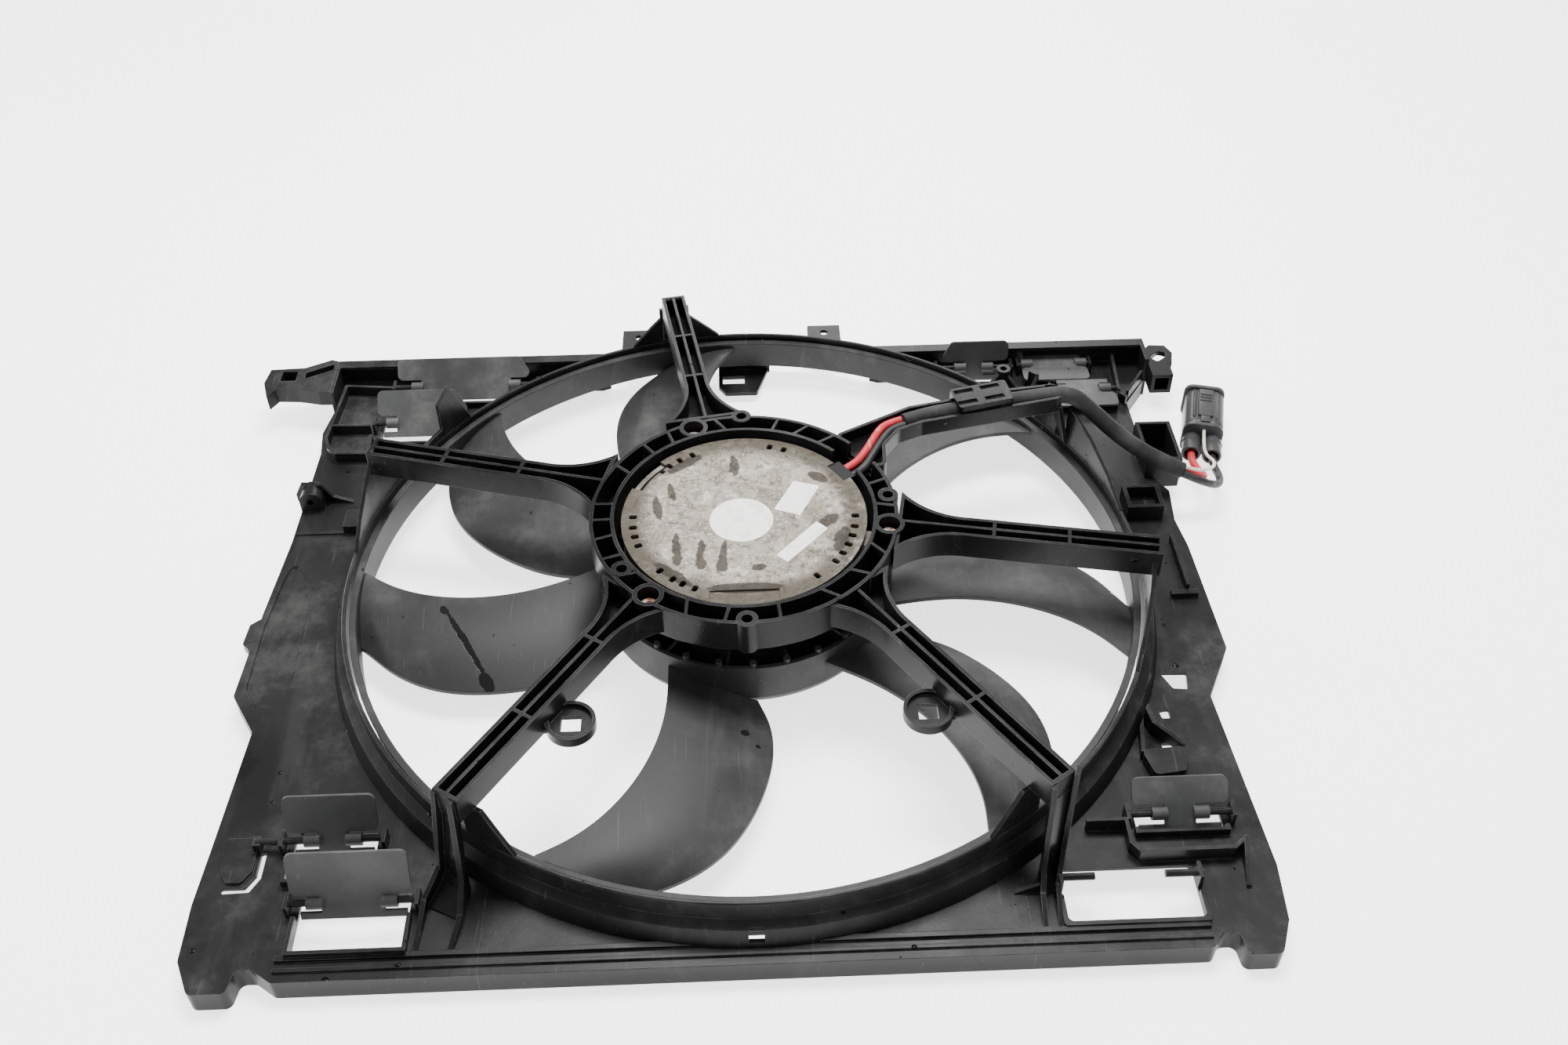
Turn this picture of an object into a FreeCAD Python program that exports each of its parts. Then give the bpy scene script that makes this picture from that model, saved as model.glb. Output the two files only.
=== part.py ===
import FreeCAD, Part
import math
import os

# Condenser fan for a car's cooling pack, lying with its core side down and its motor up.
# Millimetres. The origin is on the fan's axis, in the plane of the shroud's core face.
# +Z runs up along the axis, +Y to the shroud's top edge and +X to the harness side.


def around(radius, degrees):
    """The plan point at this radius and angle about the fan's axis."""
    angle = math.radians(degrees)
    return radius * math.cos(angle), radius * math.sin(angle)


# The parts are handed over about the middle of the outline, whose place in the drawing is this
CENTRE_X = -12.0
CENTRE_Y = -2.5

# Shroud plate and its edge skirt
PLATE_UNDER = 12.0
PLATE_THICK = 2.5
PLATE_TOP = PLATE_UNDER + PLATE_THICK
SKIRT_THICK = 2.5
CORNER_RADIUS = 4.0

# Ring duct round the fan
DUCT_INNER = 241.5
DUCT_WALL = 2.5
LIP_TOP = 40.0
LIP_EDGE = 0.6
FIN_END = LIP_TOP + 0.8
BELL_STEP_RADIUS = DUCT_INNER + 8.0
BELL_FOOT_RADIUS = DUCT_INNER + 11.5
BELL_STEP_Z = 25.5
BELL_NECK_Z = 27.5

# The plate's edges, set out from the bell's foot
EDGE_LEFT = -BELL_FOOT_RADIUS - 39.0
EDGE_RIGHT = BELL_FOOT_RADIUS + 33.0
EDGE_TOP = BELL_FOOT_RADIUS - 19.0
EDGE_BOTTOM = -BELL_FOOT_RADIUS - 9.0

# Rails along the top and bottom edges
RAIL_HALF = 140.0
RAIL_TOP = 32.0
RAIL_DEPTH = 8.0
RAIL_WALL = 2.5

# Motor carrier ring and its struts
HOUSING_RADIUS = 73.0
CARRIER_INNER = HOUSING_RADIUS + 4.5
CARRIER_OUTER = CARRIER_INNER + 14.7
CARRIER_WALL = 2.2
CARRIER_UNDER = 62.0
CARRIER_TOP = 83.0
CARRIER_FLOOR = 2.5
STRUT_WIDTH = 16.0
STRUT_WALL = 2.2
STRUT_TOP = 82.0
STRUT_DEPTH = 17.0
STRUT_FLOOR = 2.2
STRUT_FLARE = 18.0
STRUT_FLARE_LENGTH = 34.0
CHANNEL_FLOOR_Z = 71.0
LEG_THICK = 2.6
KNEE_Z = 22.0

# Motor screws and the pads that they clamp
SCREW_CIRCLE = HOUSING_RADIUS + 14.0
SCREW_ANGLES = (-9.5, 110.5, 230.5)
SCREW_SHANK = 2.5
SCREW_HEAD = 4.6
SCREW_HEAD_HEIGHT = 3.6
SCREW_PAD_TOP = 72.0
SCREW_PAD_THICK = 2.5
SCREW_CLEARANCE = 0.3
EAR_THICK = 8.0
EAR_WIDTH = 13.0
EAR_RELIEF = 10.0
BULGE_RADIUS = 9.0
SCREW_WELL = 6.4

# Hollow bosses of the carrier ring
BOSSES = (
    around(CARRIER_INNER + 13.5, 90.0),
    around(CARRIER_INNER + 10.2, 7.2),
    around(CARRIER_INNER + 7.1, 212.9),
    around(CARRIER_INNER + 11.5, 270.0),
)
BOSS_OUTER = 6.2
BOSS_BORE = 3.3

# Motor housing, cover and the parts inside
HOUSING_UNDER = 49.0
HOUSING_WALL = 3.0
COVER_TOP = 79.2
COVER_THICK = 2.2
BOARD_Z = 64.0
BOARD_THICK = 1.6
BOARD_RADIUS = HOUSING_RADIUS - 11.0
LABEL_THICK = 0.15
LABEL_CORNER = 0.8
ROUND_LABEL_PLACE = (-1.7, -3.0)
ROUND_LABEL_RADIUS = 19.0
BEARING_TUBE_OUTER = 13.0
BEARING_OUTER = 9.5
BEARING_LENGTH = 6.0
STATOR_OUTER = 52.5
STATOR_BACK = 26.0
STATOR_UNDER = 21.0
STATOR_TOP = 41.0
STATOR_TEETH = 12
TOOTH_WIDTH = 8.0
COIL_THICK = 2.2

# Rotor
SHAFT_RADIUS = 4.0
RUNNING_CLEARANCE = 0.05
BELL_OUTER = STATOR_OUTER + 9.5
BELL_WALL = 2.0
BELL_UNDER = 14.6
BELL_TOP = 43.5
MAGNET_THICK = 5.5
MAGNET_COUNT = 14

# Fan wheel
HUB_RADIUS = 90.0
HUB_WALL = 2.6
HUB_UNDER = 12.0
HUB_TOP = 43.0
HUB_FLOOR = 2.6
HUB_EDGE = 6.0
PEG_COUNT = 28
PEG_RADIUS = 2.0
PEG_HEIGHT = 3.2
HUB_SCREW_CIRCLE = 40.0
HUB_SCREW_COUNT = 4
FAN_RING_INNER = DUCT_INNER - 5.5
FAN_RING_WALL = 2.2
FAN_RING_UNDER = 16.0
FAN_RING_TOP = 36.0
FAN_FLANGE_REACH = DUCT_INNER - 1.3
FAN_FLANGE_THICK = 2.2
BLADE_THICK = 2.8
BLADE_CAMBER = 3.0
# Angle of each blade's raised edge at the hub: the blades are unevenly spaced
BLADE_ANGLES = (30.8, 88.6, 132.9, 175.2, 238.4, 299.2, 338.2)
# How far out, from just inside the hub's rim to just inside the fan ring's wall, then the angles
# of the raised and the lowered edge counted from the blade's angle
BLADE_EDGES = (
    (0.0, -1.0, 34.0),
    (0.1242, 5.2, 37.0),
    (0.2549, 8.8, 37.4),
    (0.4183, 10.2, 35.0),
    (0.5817, 9.6, 31.4),
    (0.7451, 7.6, 26.6),
    (0.8889, 4.6, 20.0),
    (1.0, 1.8, 14.2),
)
BLADE_ROOT = HUB_RADIUS - 4.0
BLADE_TIP = FAN_RING_INNER + 3.0
BLADE_HIGH_HUB = 33.0
BLADE_HIGH_TIP = 31.0
BLADE_LOW_HUB = 14.0
BLADE_LOW_TIP = 18.5

# Air flaps: plates that hang on two stub pins over the windows of the plate
FLAP_THICK = 1.8
FLAP_AXIS_Z = 21.0
PIN_RADIUS = 2.0
PIN_CLEARANCE = 0.08
BARREL_RADIUS = 3.7
BARREL_LENGTH = 7.0
FLAP_LIP_START = 6.0
FLAP_LIP_END = 10.0
FLAP_LIP_MARGIN = 3.6
WINDOW_MARGIN = 2.5
WINDOW_BEHIND = 8.4
FLAP_PLATE_START = 5.0
FLAP_SIDE_GAP = 1.5
CHEEK_THICK = 2.0
WINDOW_CORNER = 3.0
# name, centre x, hinge y, width, plate length, tab width, open angle, starts open, corner cut, front overlap
FLAPS = (
    ("flap_top_left_outer", EDGE_LEFT + 93.5, 214.5, 98.0, 20.5, 64.5, 130.0, True, 10.0, 4.0),
    ("flap_top_left_inner", EDGE_LEFT + 69.5, 173.5, 66.0, 23.0, 40.0, 130.0, True, 12.0, 4.0),
    ("flap_top_right_inner", EDGE_RIGHT - 115.0, 219.5, 50.0, 20.0, 14.5, 105.0, True, -8.0, 4.0),
    ("flap_top_right_outer", EDGE_RIGHT - 56.0, 220.8, 48.0, 20.0, 34.0, 100.0, False, 0.0, 4.0),
    ("flap_right_upper", EDGE_RIGHT - 39.0, 189.5, 44.0, 20.0, 24.0, 100.0, False, 0.0, 4.0),
    ("flap_bottom_left_upper", EDGE_LEFT + 68.6, -181.5, 49.0, 27.0, 16.4, 112.0, True, 0.0, 4.0),
    ("flap_bottom_left_lower", EDGE_LEFT + 85.2, -220.5, 62.0, 31.0, 32.5, 108.0, True, 0.0, 4.0),
    ("flap_bottom_right", EDGE_RIGHT - 56.5, -184.0, 52.0, 20.0, 17.0, 130.0, True, 0.0, 11.0),
)
# Details of the side panels
EDGE_BOSS_PLACE = (EDGE_LEFT + 5.0, 103.0)
EDGE_BOSS_RADIUS = 7.5
EDGE_BOSS_LENGTH = 13.0
EDGE_BOSS_BORE = 2.3
TROUGH_DEPTH = 1.4
CORNER_WALL = 2.0
CORNER_WALL_TOP = 22.5
TRAY_TOP = 23.5
LOWER_DOCK_PLAN = (EDGE_RIGHT - 35.0, EDGE_RIGHT - 11.0, 56.0, 78.0)
LOWER_DOCK_TOP = 26.0
EDGE_HOLE = ((-43.0, -78.0), (-27.0, -78.5), (-29.0, -91.5), (-37.5, -90.5))
FIRST_HOOK_HOLE = ((-50.0, -107.0), (-44.0, -106.0), (-44.0, -113.0), (-49.0, -113.0))
SECOND_HOOK_HOLE = ((-54.0, -131.0), (-45.0, -131.0), (-45.0, -138.0), (-53.0, -138.0))
# Ends of the struts' centre lines and the ribs of the two lower legs
LIP_RADIUS = DUCT_INNER + DUCT_WALL / 2
TOP_START = around(CARRIER_OUTER + 10.6, 103.50)
TOP_FINISH = around(DUCT_INNER - 5.7, 101.25)
UPPER_LEFT_START = around(CARRIER_OUTER + 6.6, 158.63)
UPPER_LEFT_FINISH = around(DUCT_INNER + 3.4, 162.42)
RIGHT_START = around(CARRIER_OUTER + 7.5, -6.91)
RIGHT_FINISH = around(DUCT_INNER + 5.2, -9.21)
LOWER_LEFT_START = around(CARRIER_OUTER + 3.3, -132.88)
LOWER_LEFT_FINISH = around(DUCT_INNER + 11.9, -127.14)
LOWER_LEFT_RIBS = (
    (around(DUCT_INNER + 13.7, 231.41), around(DUCT_INNER + 37.6, 232.4), (-172.2, EDGE_BOTTOM + 13.1)),
    (around(DUCT_INNER + 14.9, 234.25), around(DUCT_INNER + 34.3, 236.9), (-154.8, EDGE_BOTTOM + 12.3)),
)
LOWER_RIGHT_START = around(CARRIER_OUTER + 3.3, -47.12)
LOWER_RIGHT_FINISH = around(DUCT_INNER + 16.1, -52.73)
LOWER_RIGHT_RIBS = (
    (around(DUCT_INNER + 18.8, 308.9), around(DUCT_INNER + 33.3, 304.7), (155.2, EDGE_BOTTOM + 14.5)),
    (around(DUCT_INNER + 18.3, 305.4), around(DUCT_INNER + 32.6, 302.6), (147.2, EDGE_BOTTOM + 14.4)),
)
CHANNEL_PLAN = ((62.0, 38.0), (89.0, 40.0), (90.0, 60.0), (100.0, 74.0), (115.6, 81.0), (209.0, 102.0),
                (209.0, 118.0), (170.0, 113.0), (134.0, 104.0), (108.0, 98.0), (60.0, 72.0))
CHANNEL_MOUTH = (103.6, 116.2)
CABLE_FINISH = (209.0, 110.3)
BARE_WINDOW = (EDGE_RIGHT - 127.0, EDGE_RIGHT - 56.0, -246.0, -213.0)
BARE_PIN_Y = -222.0
BARE_RIM = 2.4
BARE_RIM_HEIGHT = 3.0
BARE_RIM_REACH = 16.0
BARE_PIN_LENGTH = 17.0
DOCK_PLAN = (EDGE_RIGHT - 14.0, EDGE_RIGHT + 10.0, 98.0, 139.0)

# Top tabs and right ear
TOP_TAB_X = (-74.0, 63.0)
TOP_TAB_Y = 253.0
TOP_TAB_HOLE = 2.9
TOP_TAB_SIZE = 24.0
TOP_TAB_UNDER = 29.5

# Locating discs under the lower struts
LOCATOR_X = 95.0
LOCATOR_Y = -147.0
LOCATOR_RADIUS = 13.5
LOCATOR_THICK = 6.0
LOCATOR_UNDER = 65.0
LOCATOR_HOLE = 10.5

# Harness
SHEATH_RADIUS = 5.5
POWER_LEAD_RADIUS = 2.6
SIGNAL_LEAD_RADIUS = 1.1
CONNECTOR_LENGTH = 46.0
CONNECTOR_WIDTH = 28.0
CONNECTOR_HEIGHT = 26.0
PORT_RADIUS = 6.4
PORT_LENGTH = 18.0
CONNECTOR_PLACE = (317.0, 121.0)
CONNECTOR_ANGLE = 75.0
LEAD_ANGLE = 33.0
LEAD_EXIT_Z = 74.6
GROMMET_FACE = HOUSING_RADIUS + 4.0
GROMMET_HALF = 8.5
GROMMET_DEPTH = 14.0
PORT_WALL = 1.4
PORT_BORE_DEPTH = 8.0
CLIP_TOP = 87.0
CLIP_WALL = 1.8
CLIP_GAP = 0.6
CORD_GAP = 0.1
SHEATH_Z = CHANNEL_FLOOR_Z + STRUT_FLOOR + SHEATH_RADIUS + CORD_GAP
# Routes of the sheath and the leads, as the photograph shows them
HELD_SHEATH = (
    (104.0, 85.5, SHEATH_Z),
    (122.0, 92.5, SHEATH_Z),
    (148.0, 98.5, SHEATH_Z),
    (178.0, 105.0, SHEATH_Z),
    (203.0, 109.3, SHEATH_Z),
)
FREE_SHEATH = (
    (203.0, 109.3, SHEATH_Z),
    (216.5, 111.62, SHEATH_Z),
    (230.0, 106.0, 68.5),
    (246.0, 98.0, 55.5),
    (263.0, 91.0, 45.0),
    (280.0, 85.0, 38.0),
    (291.0, 81.5, 34.0),
)
RED_LEAD = (
    (62.5, 45.2, LEAD_EXIT_Z),
    (71.0, 50.7, LEAD_EXIT_Z),
    (79.6, 62.4, 78.0),
    (86.0, 74.5, 79.8),
    (92.3, 84.1, SHEATH_Z),
    (102.7, 88.0, SHEATH_Z),
)
BLACK_LEAD = (
    (66.7, 38.8, LEAD_EXIT_Z),
    (74.7, 44.0, LEAD_EXIT_Z),
    (82.3, 56.4, 78.0),
    (89.2, 68.2, 79.8),
    (95.9, 79.1, SHEATH_Z),
    (104.5, 82.7, SHEATH_Z),
)
RED_TAIL = (
    (292.2, 83.9, 33.9),
    (301.0, 81.2, 30.6),
    (309.5, 87.0, 23.0),
    (310.5, 101.0, 15.8),
    (308.4, 116.1, 13.0),
    (312.0, 129.6, 13.0),
)
BLACK_TAIL = (
    (290.6, 78.9, 33.9),
    (302.5, 75.2, 29.6),
    (317.0, 80.0, 21.0),
    (323.5, 94.5, 15.0),
    (322.2, 113.4, 13.0),
    (325.6, 125.9, 13.0),
)
SIGNAL_TAIL = (
    (292.6, 81.0, 37.3),
    (302.0, 78.5, 35.8),
    (312.0, 83.5, 34.0),
    (317.0, 95.0, 29.5),
    (315.0, 110.0, 23.5),
    (318.4, 125.9, 21.6),
    (321.7, 138.3, 21.6),
)


def point(x, y, z=0.0):
    return FreeCAD.Vector(x, y, z)


def block(x0, x1, y0, y1, z0, z1):
    return Part.makeBox(x1 - x0, y1 - y0, z1 - z0, point(x0, y0, z0))


def disc(x, y, z0, z1, radius):
    return Part.makeCylinder(radius, z1 - z0, point(x, y, z0))


def pipe(x, y, z0, z1, outer, inner):
    return disc(x, y, z0, z1, outer).cut(disc(x, y, z0 - 1, z1 + 1, inner))


def joined(shapes):
    whole = shapes[0].multiFuse(shapes[1:]) if len(shapes) > 1 else shapes[0]
    return whole.removeSplitter()


def outline(corners, radius=0.0):
    """A closed wire through the plan corners, each rounded where its sides allow."""
    edges = []
    ends = []
    for index, corner in enumerate(corners):
        here = point(*corner)
        back = point(*corners[index - 1]) - here
        ahead = point(*corners[(index + 1) % len(corners)]) - here
        half = back.getAngle(ahead) / 2
        bend = math.pi / 2 - half
        if radius <= 0 or bend < 0.02:
            ends.append((here, None, here))
            continue
        reach = min(radius / math.tan(half), 0.45 * back.Length, 0.45 * ahead.Length)
        start = here + back.normalize() * reach
        finish = here + ahead.normalize() * reach
        centre_way = (back + ahead).normalize()
        arc_radius = reach * math.tan(half)
        middle = here + centre_way * (reach / math.cos(half) - arc_radius)
        ends.append((start, middle, finish))
    for index, (start, middle, finish) in enumerate(ends):
        if middle is not None:
            edges.append(Part.Arc(start, middle, finish).toShape())
        following = ends[(index + 1) % len(ends)][0]
        if finish.distanceToPoint(following) > 1e-6:
            edges.append(Part.LineSegment(finish, following).toShape())
    return Part.Wire(edges)


def slab(corners, z0, z1, radius=0.0):
    face = Part.Face(outline(corners, radius))
    face.translate(point(0, 0, z0))
    return face.extrude(point(0, 0, z1 - z0))


def wall(start, finish, thick, z0, z1):
    """An upright wall along a straight plan line."""
    return fin(start, finish, thick, z0, z1, z1)


def fin(start, finish, thick, z0, top_start, top_finish):
    """An upright wall whose top slopes from one end to the other."""
    a = point(*start)
    b = point(*finish)
    side = point(a.y - b.y, b.x - a.x).normalize() * thick
    corners = [
        point(a.x, a.y, z0) - side / 2,
        point(b.x, b.y, z0) - side / 2,
        point(b.x, b.y, top_finish) - side / 2,
        point(a.x, a.y, top_start) - side / 2,
    ]
    corners.append(corners[0])
    return Part.Face(Part.makePolygon(corners)).extrude(side)


def turned_profile(corners):
    """A solid of revolution about the fan's axis from radius and height pairs."""
    loop = [point(radius, 0, z) for radius, z in corners]
    loop.append(loop[0])
    face = Part.Face(Part.makePolygon(loop))
    return face.revolve(point(0, 0, 0), point(0, 0, 1), 360)


def sector(inner, outer, z0, z1, first, last):
    """Part of a round wall between two angles."""
    ring = Part.makeCylinder(outer, z1 - z0, point(0, 0, z0), point(0, 0, 1), last - first)
    ring.rotate(point(0, 0, 0), point(0, 0, 1), first)
    return ring.cut(disc(0, 0, z0 - 1, z1 + 1, inner))


def placed(shape, x, y, angle=0.0, z=0.0):
    copy = shape.copy()
    copy.rotate(point(0, 0, 0), point(0, 0, 1), angle)
    copy.translate(point(x, y, z))
    return copy


def tube(name, route, radius):
    """A round tube whose route is straight runs joined by the largest arcs they allow."""
    spots = [point(*spot) for spot in route]
    edges = []
    radii = []
    last = spots[0]
    for before, here, after in zip(spots, spots[1:], spots[2:]):
        back = before - here
        ahead = after - here
        half = back.getAngle(ahead) / 2
        reach = 0.45 * min(back.Length, ahead.Length)
        start = here + back.normalize() * reach
        finish = here + ahead.normalize() * reach
        arc_radius = reach * math.tan(half)
        radii.append(arc_radius)
        middle = here + (back + ahead).normalize() * (reach / math.cos(half) - arc_radius)
        edges.append(Part.LineSegment(last, start).toShape())
        edges.append(Part.Arc(start, middle, finish).toShape())
        last = finish
    edges.append(Part.LineSegment(last, spots[-1]).toShape())
    path = Part.Wire(edges)
    profile = Part.Wire(Part.makeCircle(radius, spots[0], spots[1] - spots[0]))
    solid = path.makePipeShell([profile], True, True)
    solid = Part.Solid(solid) if solid.ShapeType == "Shell" else solid
    expected = math.pi * radius ** 2 * path.Length
    print(name, "length", round(path.Length, 1), "volume ratio", round(solid.Volume / expected, 4),
          "radii", [round(value, 1) for value in radii])
    return solid


# Shroud plate

def plate_corners():
    """The plate's outline, from the top left corner round by the bottom edge."""
    return [
        (EDGE_LEFT, EDGE_TOP),
        (EDGE_LEFT, 196.0),
        (EDGE_LEFT - 4, 172.0),
        (EDGE_LEFT - 1, 150.0),
        (EDGE_LEFT - 3, 60.0),
        (EDGE_LEFT - 8, -5.0),
        (EDGE_LEFT - 11, -72.0),
        (EDGE_LEFT + 6, -100.0),
        (EDGE_LEFT + 2, -180.0),
        (EDGE_LEFT, -215.0),
        (EDGE_LEFT + 1, EDGE_BOTTOM + 14),
        (EDGE_LEFT + 10, EDGE_BOTTOM - 5),
        (EDGE_LEFT + 29, EDGE_BOTTOM - 5),
        (EDGE_LEFT + 31, EDGE_BOTTOM + 8),
        (EDGE_LEFT + 39, EDGE_BOTTOM + 8),
        (EDGE_LEFT + 50, EDGE_BOTTOM),
        (EDGE_RIGHT - 55, EDGE_BOTTOM),
        (EDGE_RIGHT - 50, EDGE_BOTTOM + 8),
        (EDGE_RIGHT - 41, EDGE_BOTTOM + 8),
        (EDGE_RIGHT - 40, EDGE_BOTTOM - 5),
        (EDGE_RIGHT - 22, EDGE_BOTTOM - 5),
        (EDGE_RIGHT - 14, EDGE_BOTTOM + 14),
        (EDGE_RIGHT - 11, -215.0),
        (EDGE_RIGHT - 17, -97.0),
        (EDGE_RIGHT + 2, -60.0),
        (EDGE_RIGHT, 30.0),
        (EDGE_RIGHT - 3, 55.0),
        (EDGE_RIGHT, 84.0),
        (EDGE_RIGHT - 8, 98.0),
        (EDGE_RIGHT - 9, 180.0),
        (EDGE_RIGHT + 11, 210.0),
        (EDGE_RIGHT + 11, EDGE_TOP),
    ]


def plate_blank():
    """The whole plate with its skirt, before the ring and the windows are cut."""
    whole = slab(plate_corners(), 0.0, PLATE_TOP, CORNER_RADIUS)
    face = Part.Face(outline(plate_corners(), CORNER_RADIUS))
    hollow = face.makeOffset2D(-SKIRT_THICK).extrude(point(0, 0, PLATE_UNDER + 1))
    hollow.translate(point(0, 0, -1))
    return whole.cut(hollow).cut(disc(0, 0, -1, PLATE_TOP + 1, BELL_FOOT_RADIUS))


def flap_window(flap):
    """Plan limits of the window that a flap closes."""
    name, centre, hinge, width, length, tab, angle, is_open, cut, overlap = flap
    half = width / 2 - WINDOW_MARGIN
    return centre - half, centre + half, hinge - length + overlap, hinge + WINDOW_BEHIND


def window_frame(flap):
    """Rim, cheeks and stub pins that carry one flap."""
    name, centre, hinge, width, length, tab, angle, is_open, cut, overlap = flap
    x0, x1, y0, y1 = flap_window(flap)
    rim_top = FLAP_AXIS_Z - FLAP_THICK / 2 - 0.4
    pieces = [
        block(x0 - 2, x0, y0 - 2, hinge - 7, PLATE_TOP, rim_top),
        block(x1, x1 + 2, y0 - 2, hinge - 7, PLATE_TOP, rim_top),
        block(x0 - 2, x1 + 2, y0 - 2, y0, PLATE_TOP, rim_top),
    ]
    for side in (-1, 1):
        cheek = centre + side * (width / 2 + FLAP_SIDE_GAP + CHEEK_THICK / 2)
        pieces.append(block(cheek - CHEEK_THICK / 2, cheek + CHEEK_THICK / 2, hinge - 5, hinge + 5,
                            PLATE_TOP, FLAP_AXIS_Z + PIN_RADIUS + 1))
        inner = centre + side * (tab / 2 + 0.4)
        pin = Part.makeCylinder(PIN_RADIUS, abs(cheek - inner), point(min(cheek, inner), hinge, FLAP_AXIS_Z),
                                point(1, 0, 0))
        pieces.append(pin)
    return pieces


def rounded_hole(plate, x0, x1, y0, y1):
    """The plate with a round-cornered window through it."""
    return plate.cut(slab([(x0, y0), (x1, y0), (x1, y1), (x0, y1)], -1, PLATE_TOP + 1, WINDOW_CORNER))


def cut_windows(plate, flaps):
    for flap in flaps:
        plate = rounded_hole(plate, *flap_window(flap))
    return plate


def wall_path(corners, thick, z0, z1):
    """Upright walls along a plan line, with round posts at its bends."""
    pieces = [wall(start, finish, thick, z0, z1) for start, finish in zip(corners, corners[1:])]
    return pieces + [disc(x, y, z0, z1, thick / 2) for x, y in corners[1:-1]]


def edge_beam(x0, x1):
    """The raised beam along the top edge: a flange on a back wall and a low front wall."""
    flange = block(x0, x1, EDGE_TOP - RAIL_DEPTH, EDGE_TOP, RAIL_TOP - RAIL_WALL, RAIL_TOP)
    back = block(x0, x1, EDGE_TOP - RAIL_WALL, EDGE_TOP, PLATE_TOP, RAIL_TOP)
    return [flange, back]


def sill(x0, x1):
    """The stepped sill along the bottom edge."""
    step = block(x0, x1, EDGE_BOTTOM + 11, EDGE_BOTTOM + 14, PLATE_TOP, PLATE_TOP + 2)
    rib = block(x0, x1, EDGE_BOTTOM + 5, EDGE_BOTTOM + 7, PLATE_TOP, PLATE_TOP + 1.5)
    return [step, rib]


def left_panel():
    zone = block(-400, -RAIL_HALF, -400, 400, -1, 200).fuse(block(-RAIL_HALF, 0, 0, 400, -1, 200))
    flaps = [flap for flap in FLAPS if flap[1] < 0]
    plate = cut_windows(plate_blank().common(zone), flaps)
    pieces = [plate]
    for flap in flaps:
        pieces += window_frame(flap)
    pieces += edge_beam(EDGE_LEFT, 0)
    pieces += sill(EDGE_LEFT + 50, -RAIL_HALF)
    pieces += left_details()
    panel = joined(pieces).cut(disc(0, 0, -1, 200, BELL_FOOT_RADIUS))
    for hollow in left_cuts():
        panel = panel.cut(hollow)
    return panel


def hook_arm():
    """Arm off the top left corner with a hooked, ribbed end."""
    edge = EDGE_LEFT
    arm = slab([(edge, 234), (-297, 236), (-315, 227), (-339, 226), (-341, 210), (-336, 194),
                (-331, 203), (-316, 202), (-300, 198), (edge, 198)], RAIL_TOP - 12, RAIL_TOP)
    pocket = block(-330, -319, 212, 223, RAIL_TOP - 9, RAIL_TOP + 1)
    slot = slab([(-313, 221), (-296, 230), (-294, 230), (-294, 224), (-313, 214)],
                RAIL_TOP - 9, RAIL_TOP + 1)
    return arm.cut(pocket).cut(slot)


def edge_boss():
    """The hollow boss near the left edge, lying with its face to the front, on a gusset plate."""
    x, y = EDGE_BOSS_PLACE
    front = y - EDGE_BOSS_LENGTH
    z = PLATE_TOP + EDGE_BOSS_RADIUS
    post = block(x - EDGE_BOSS_RADIUS, x + EDGE_BOSS_RADIUS, front, y, PLATE_TOP, z)
    barrel = Part.makeCylinder(EDGE_BOSS_RADIUS, EDGE_BOSS_LENGTH, point(x, front, z), point(0, 1, 0))
    bore = Part.makeCylinder(EDGE_BOSS_BORE, EDGE_BOSS_LENGTH - 4, point(x, front - 1, z), point(0, 1, 0))
    gusset = Part.Face(upright((x - 12, y), (x + 26, y - 4), [
        (0, PLATE_TOP), (0, PLATE_TOP + 6), (5, PLATE_TOP + 15), (18, PLATE_TOP + 15), (25, PLATE_TOP + 5),
        (38, PLATE_TOP + 1), (38, PLATE_TOP)]))
    return joined([post, barrel, gusset.extrude(point(0, -2.4, 0))]).cut(bore)


def trough():
    """The shallow sloped-sided hollow that stiffens the left side of the plate."""
    corners = [(2, 44), (19.5, 17), (20, -17), (21.5, -62), (16, -82), (3, -80), (-5.5, -67),
               (-5.5, -16), (-2, 22)]
    floor = PLATE_TOP - TROUGH_DEPTH
    hollow = slab(corners, floor, PLATE_TOP + 1, 6)
    low = [edge for edge in hollow.Edges if edge.BoundBox.ZMax < floor + 0.01]
    return hollow.makeChamfer(TROUGH_DEPTH * 0.95, low)


def left_details():
    """Edge boss, corner wall, ear, crease, hooked tongue and the walls round the upper windows.

    Here x is measured inward from the left edge.
    """
    rod = FLAPS[5]
    pieces = [
        block(0, RAIL_WALL, 196, EDGE_TOP, 0, RAIL_TOP),
        slab([(-7, -8), (-14, -14), (-15, -30), (-11, -34), (-7, -34)], PLATE_UNDER - 4, PLATE_TOP, 1),
        block(-2, 30, 66, 68, PLATE_TOP, PLATE_TOP + 1.2),
        block(30, 42, 66, 82, PLATE_TOP, PLATE_TOP + 7),
        slab([(8, -175), (27.5, -175), (27.5, -196), (23, -203.5), (15, -203.5), (11, -196)],
             PLATE_TOP, PLATE_TOP + 1.6, 3),
        block(26, 30, rod[2] - 3, rod[2] + 3, PLATE_TOP, FLAP_AXIS_Z + 1),
        Part.makeCylinder(PIN_RADIUS, 15, point(27, rod[2], FLAP_AXIS_Z), point(1, 0, 0)),
    ]
    pieces += wall_path([(40.5, 213.5), (6.8, 217), (2.7, 157.5), (6, 147), (12.1, 140.7), (34.5, 139.6),
                         (33.4, 160)], CORNER_WALL, PLATE_TOP, CORNER_WALL_TOP)
    pieces.append(wall((3.5, 171.5), (31, 170.5), CORNER_WALL, PLATE_TOP, CORNER_WALL_TOP))
    return [edge_boss()] + [placed(piece, EDGE_LEFT, 0) for piece in pieces]


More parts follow.
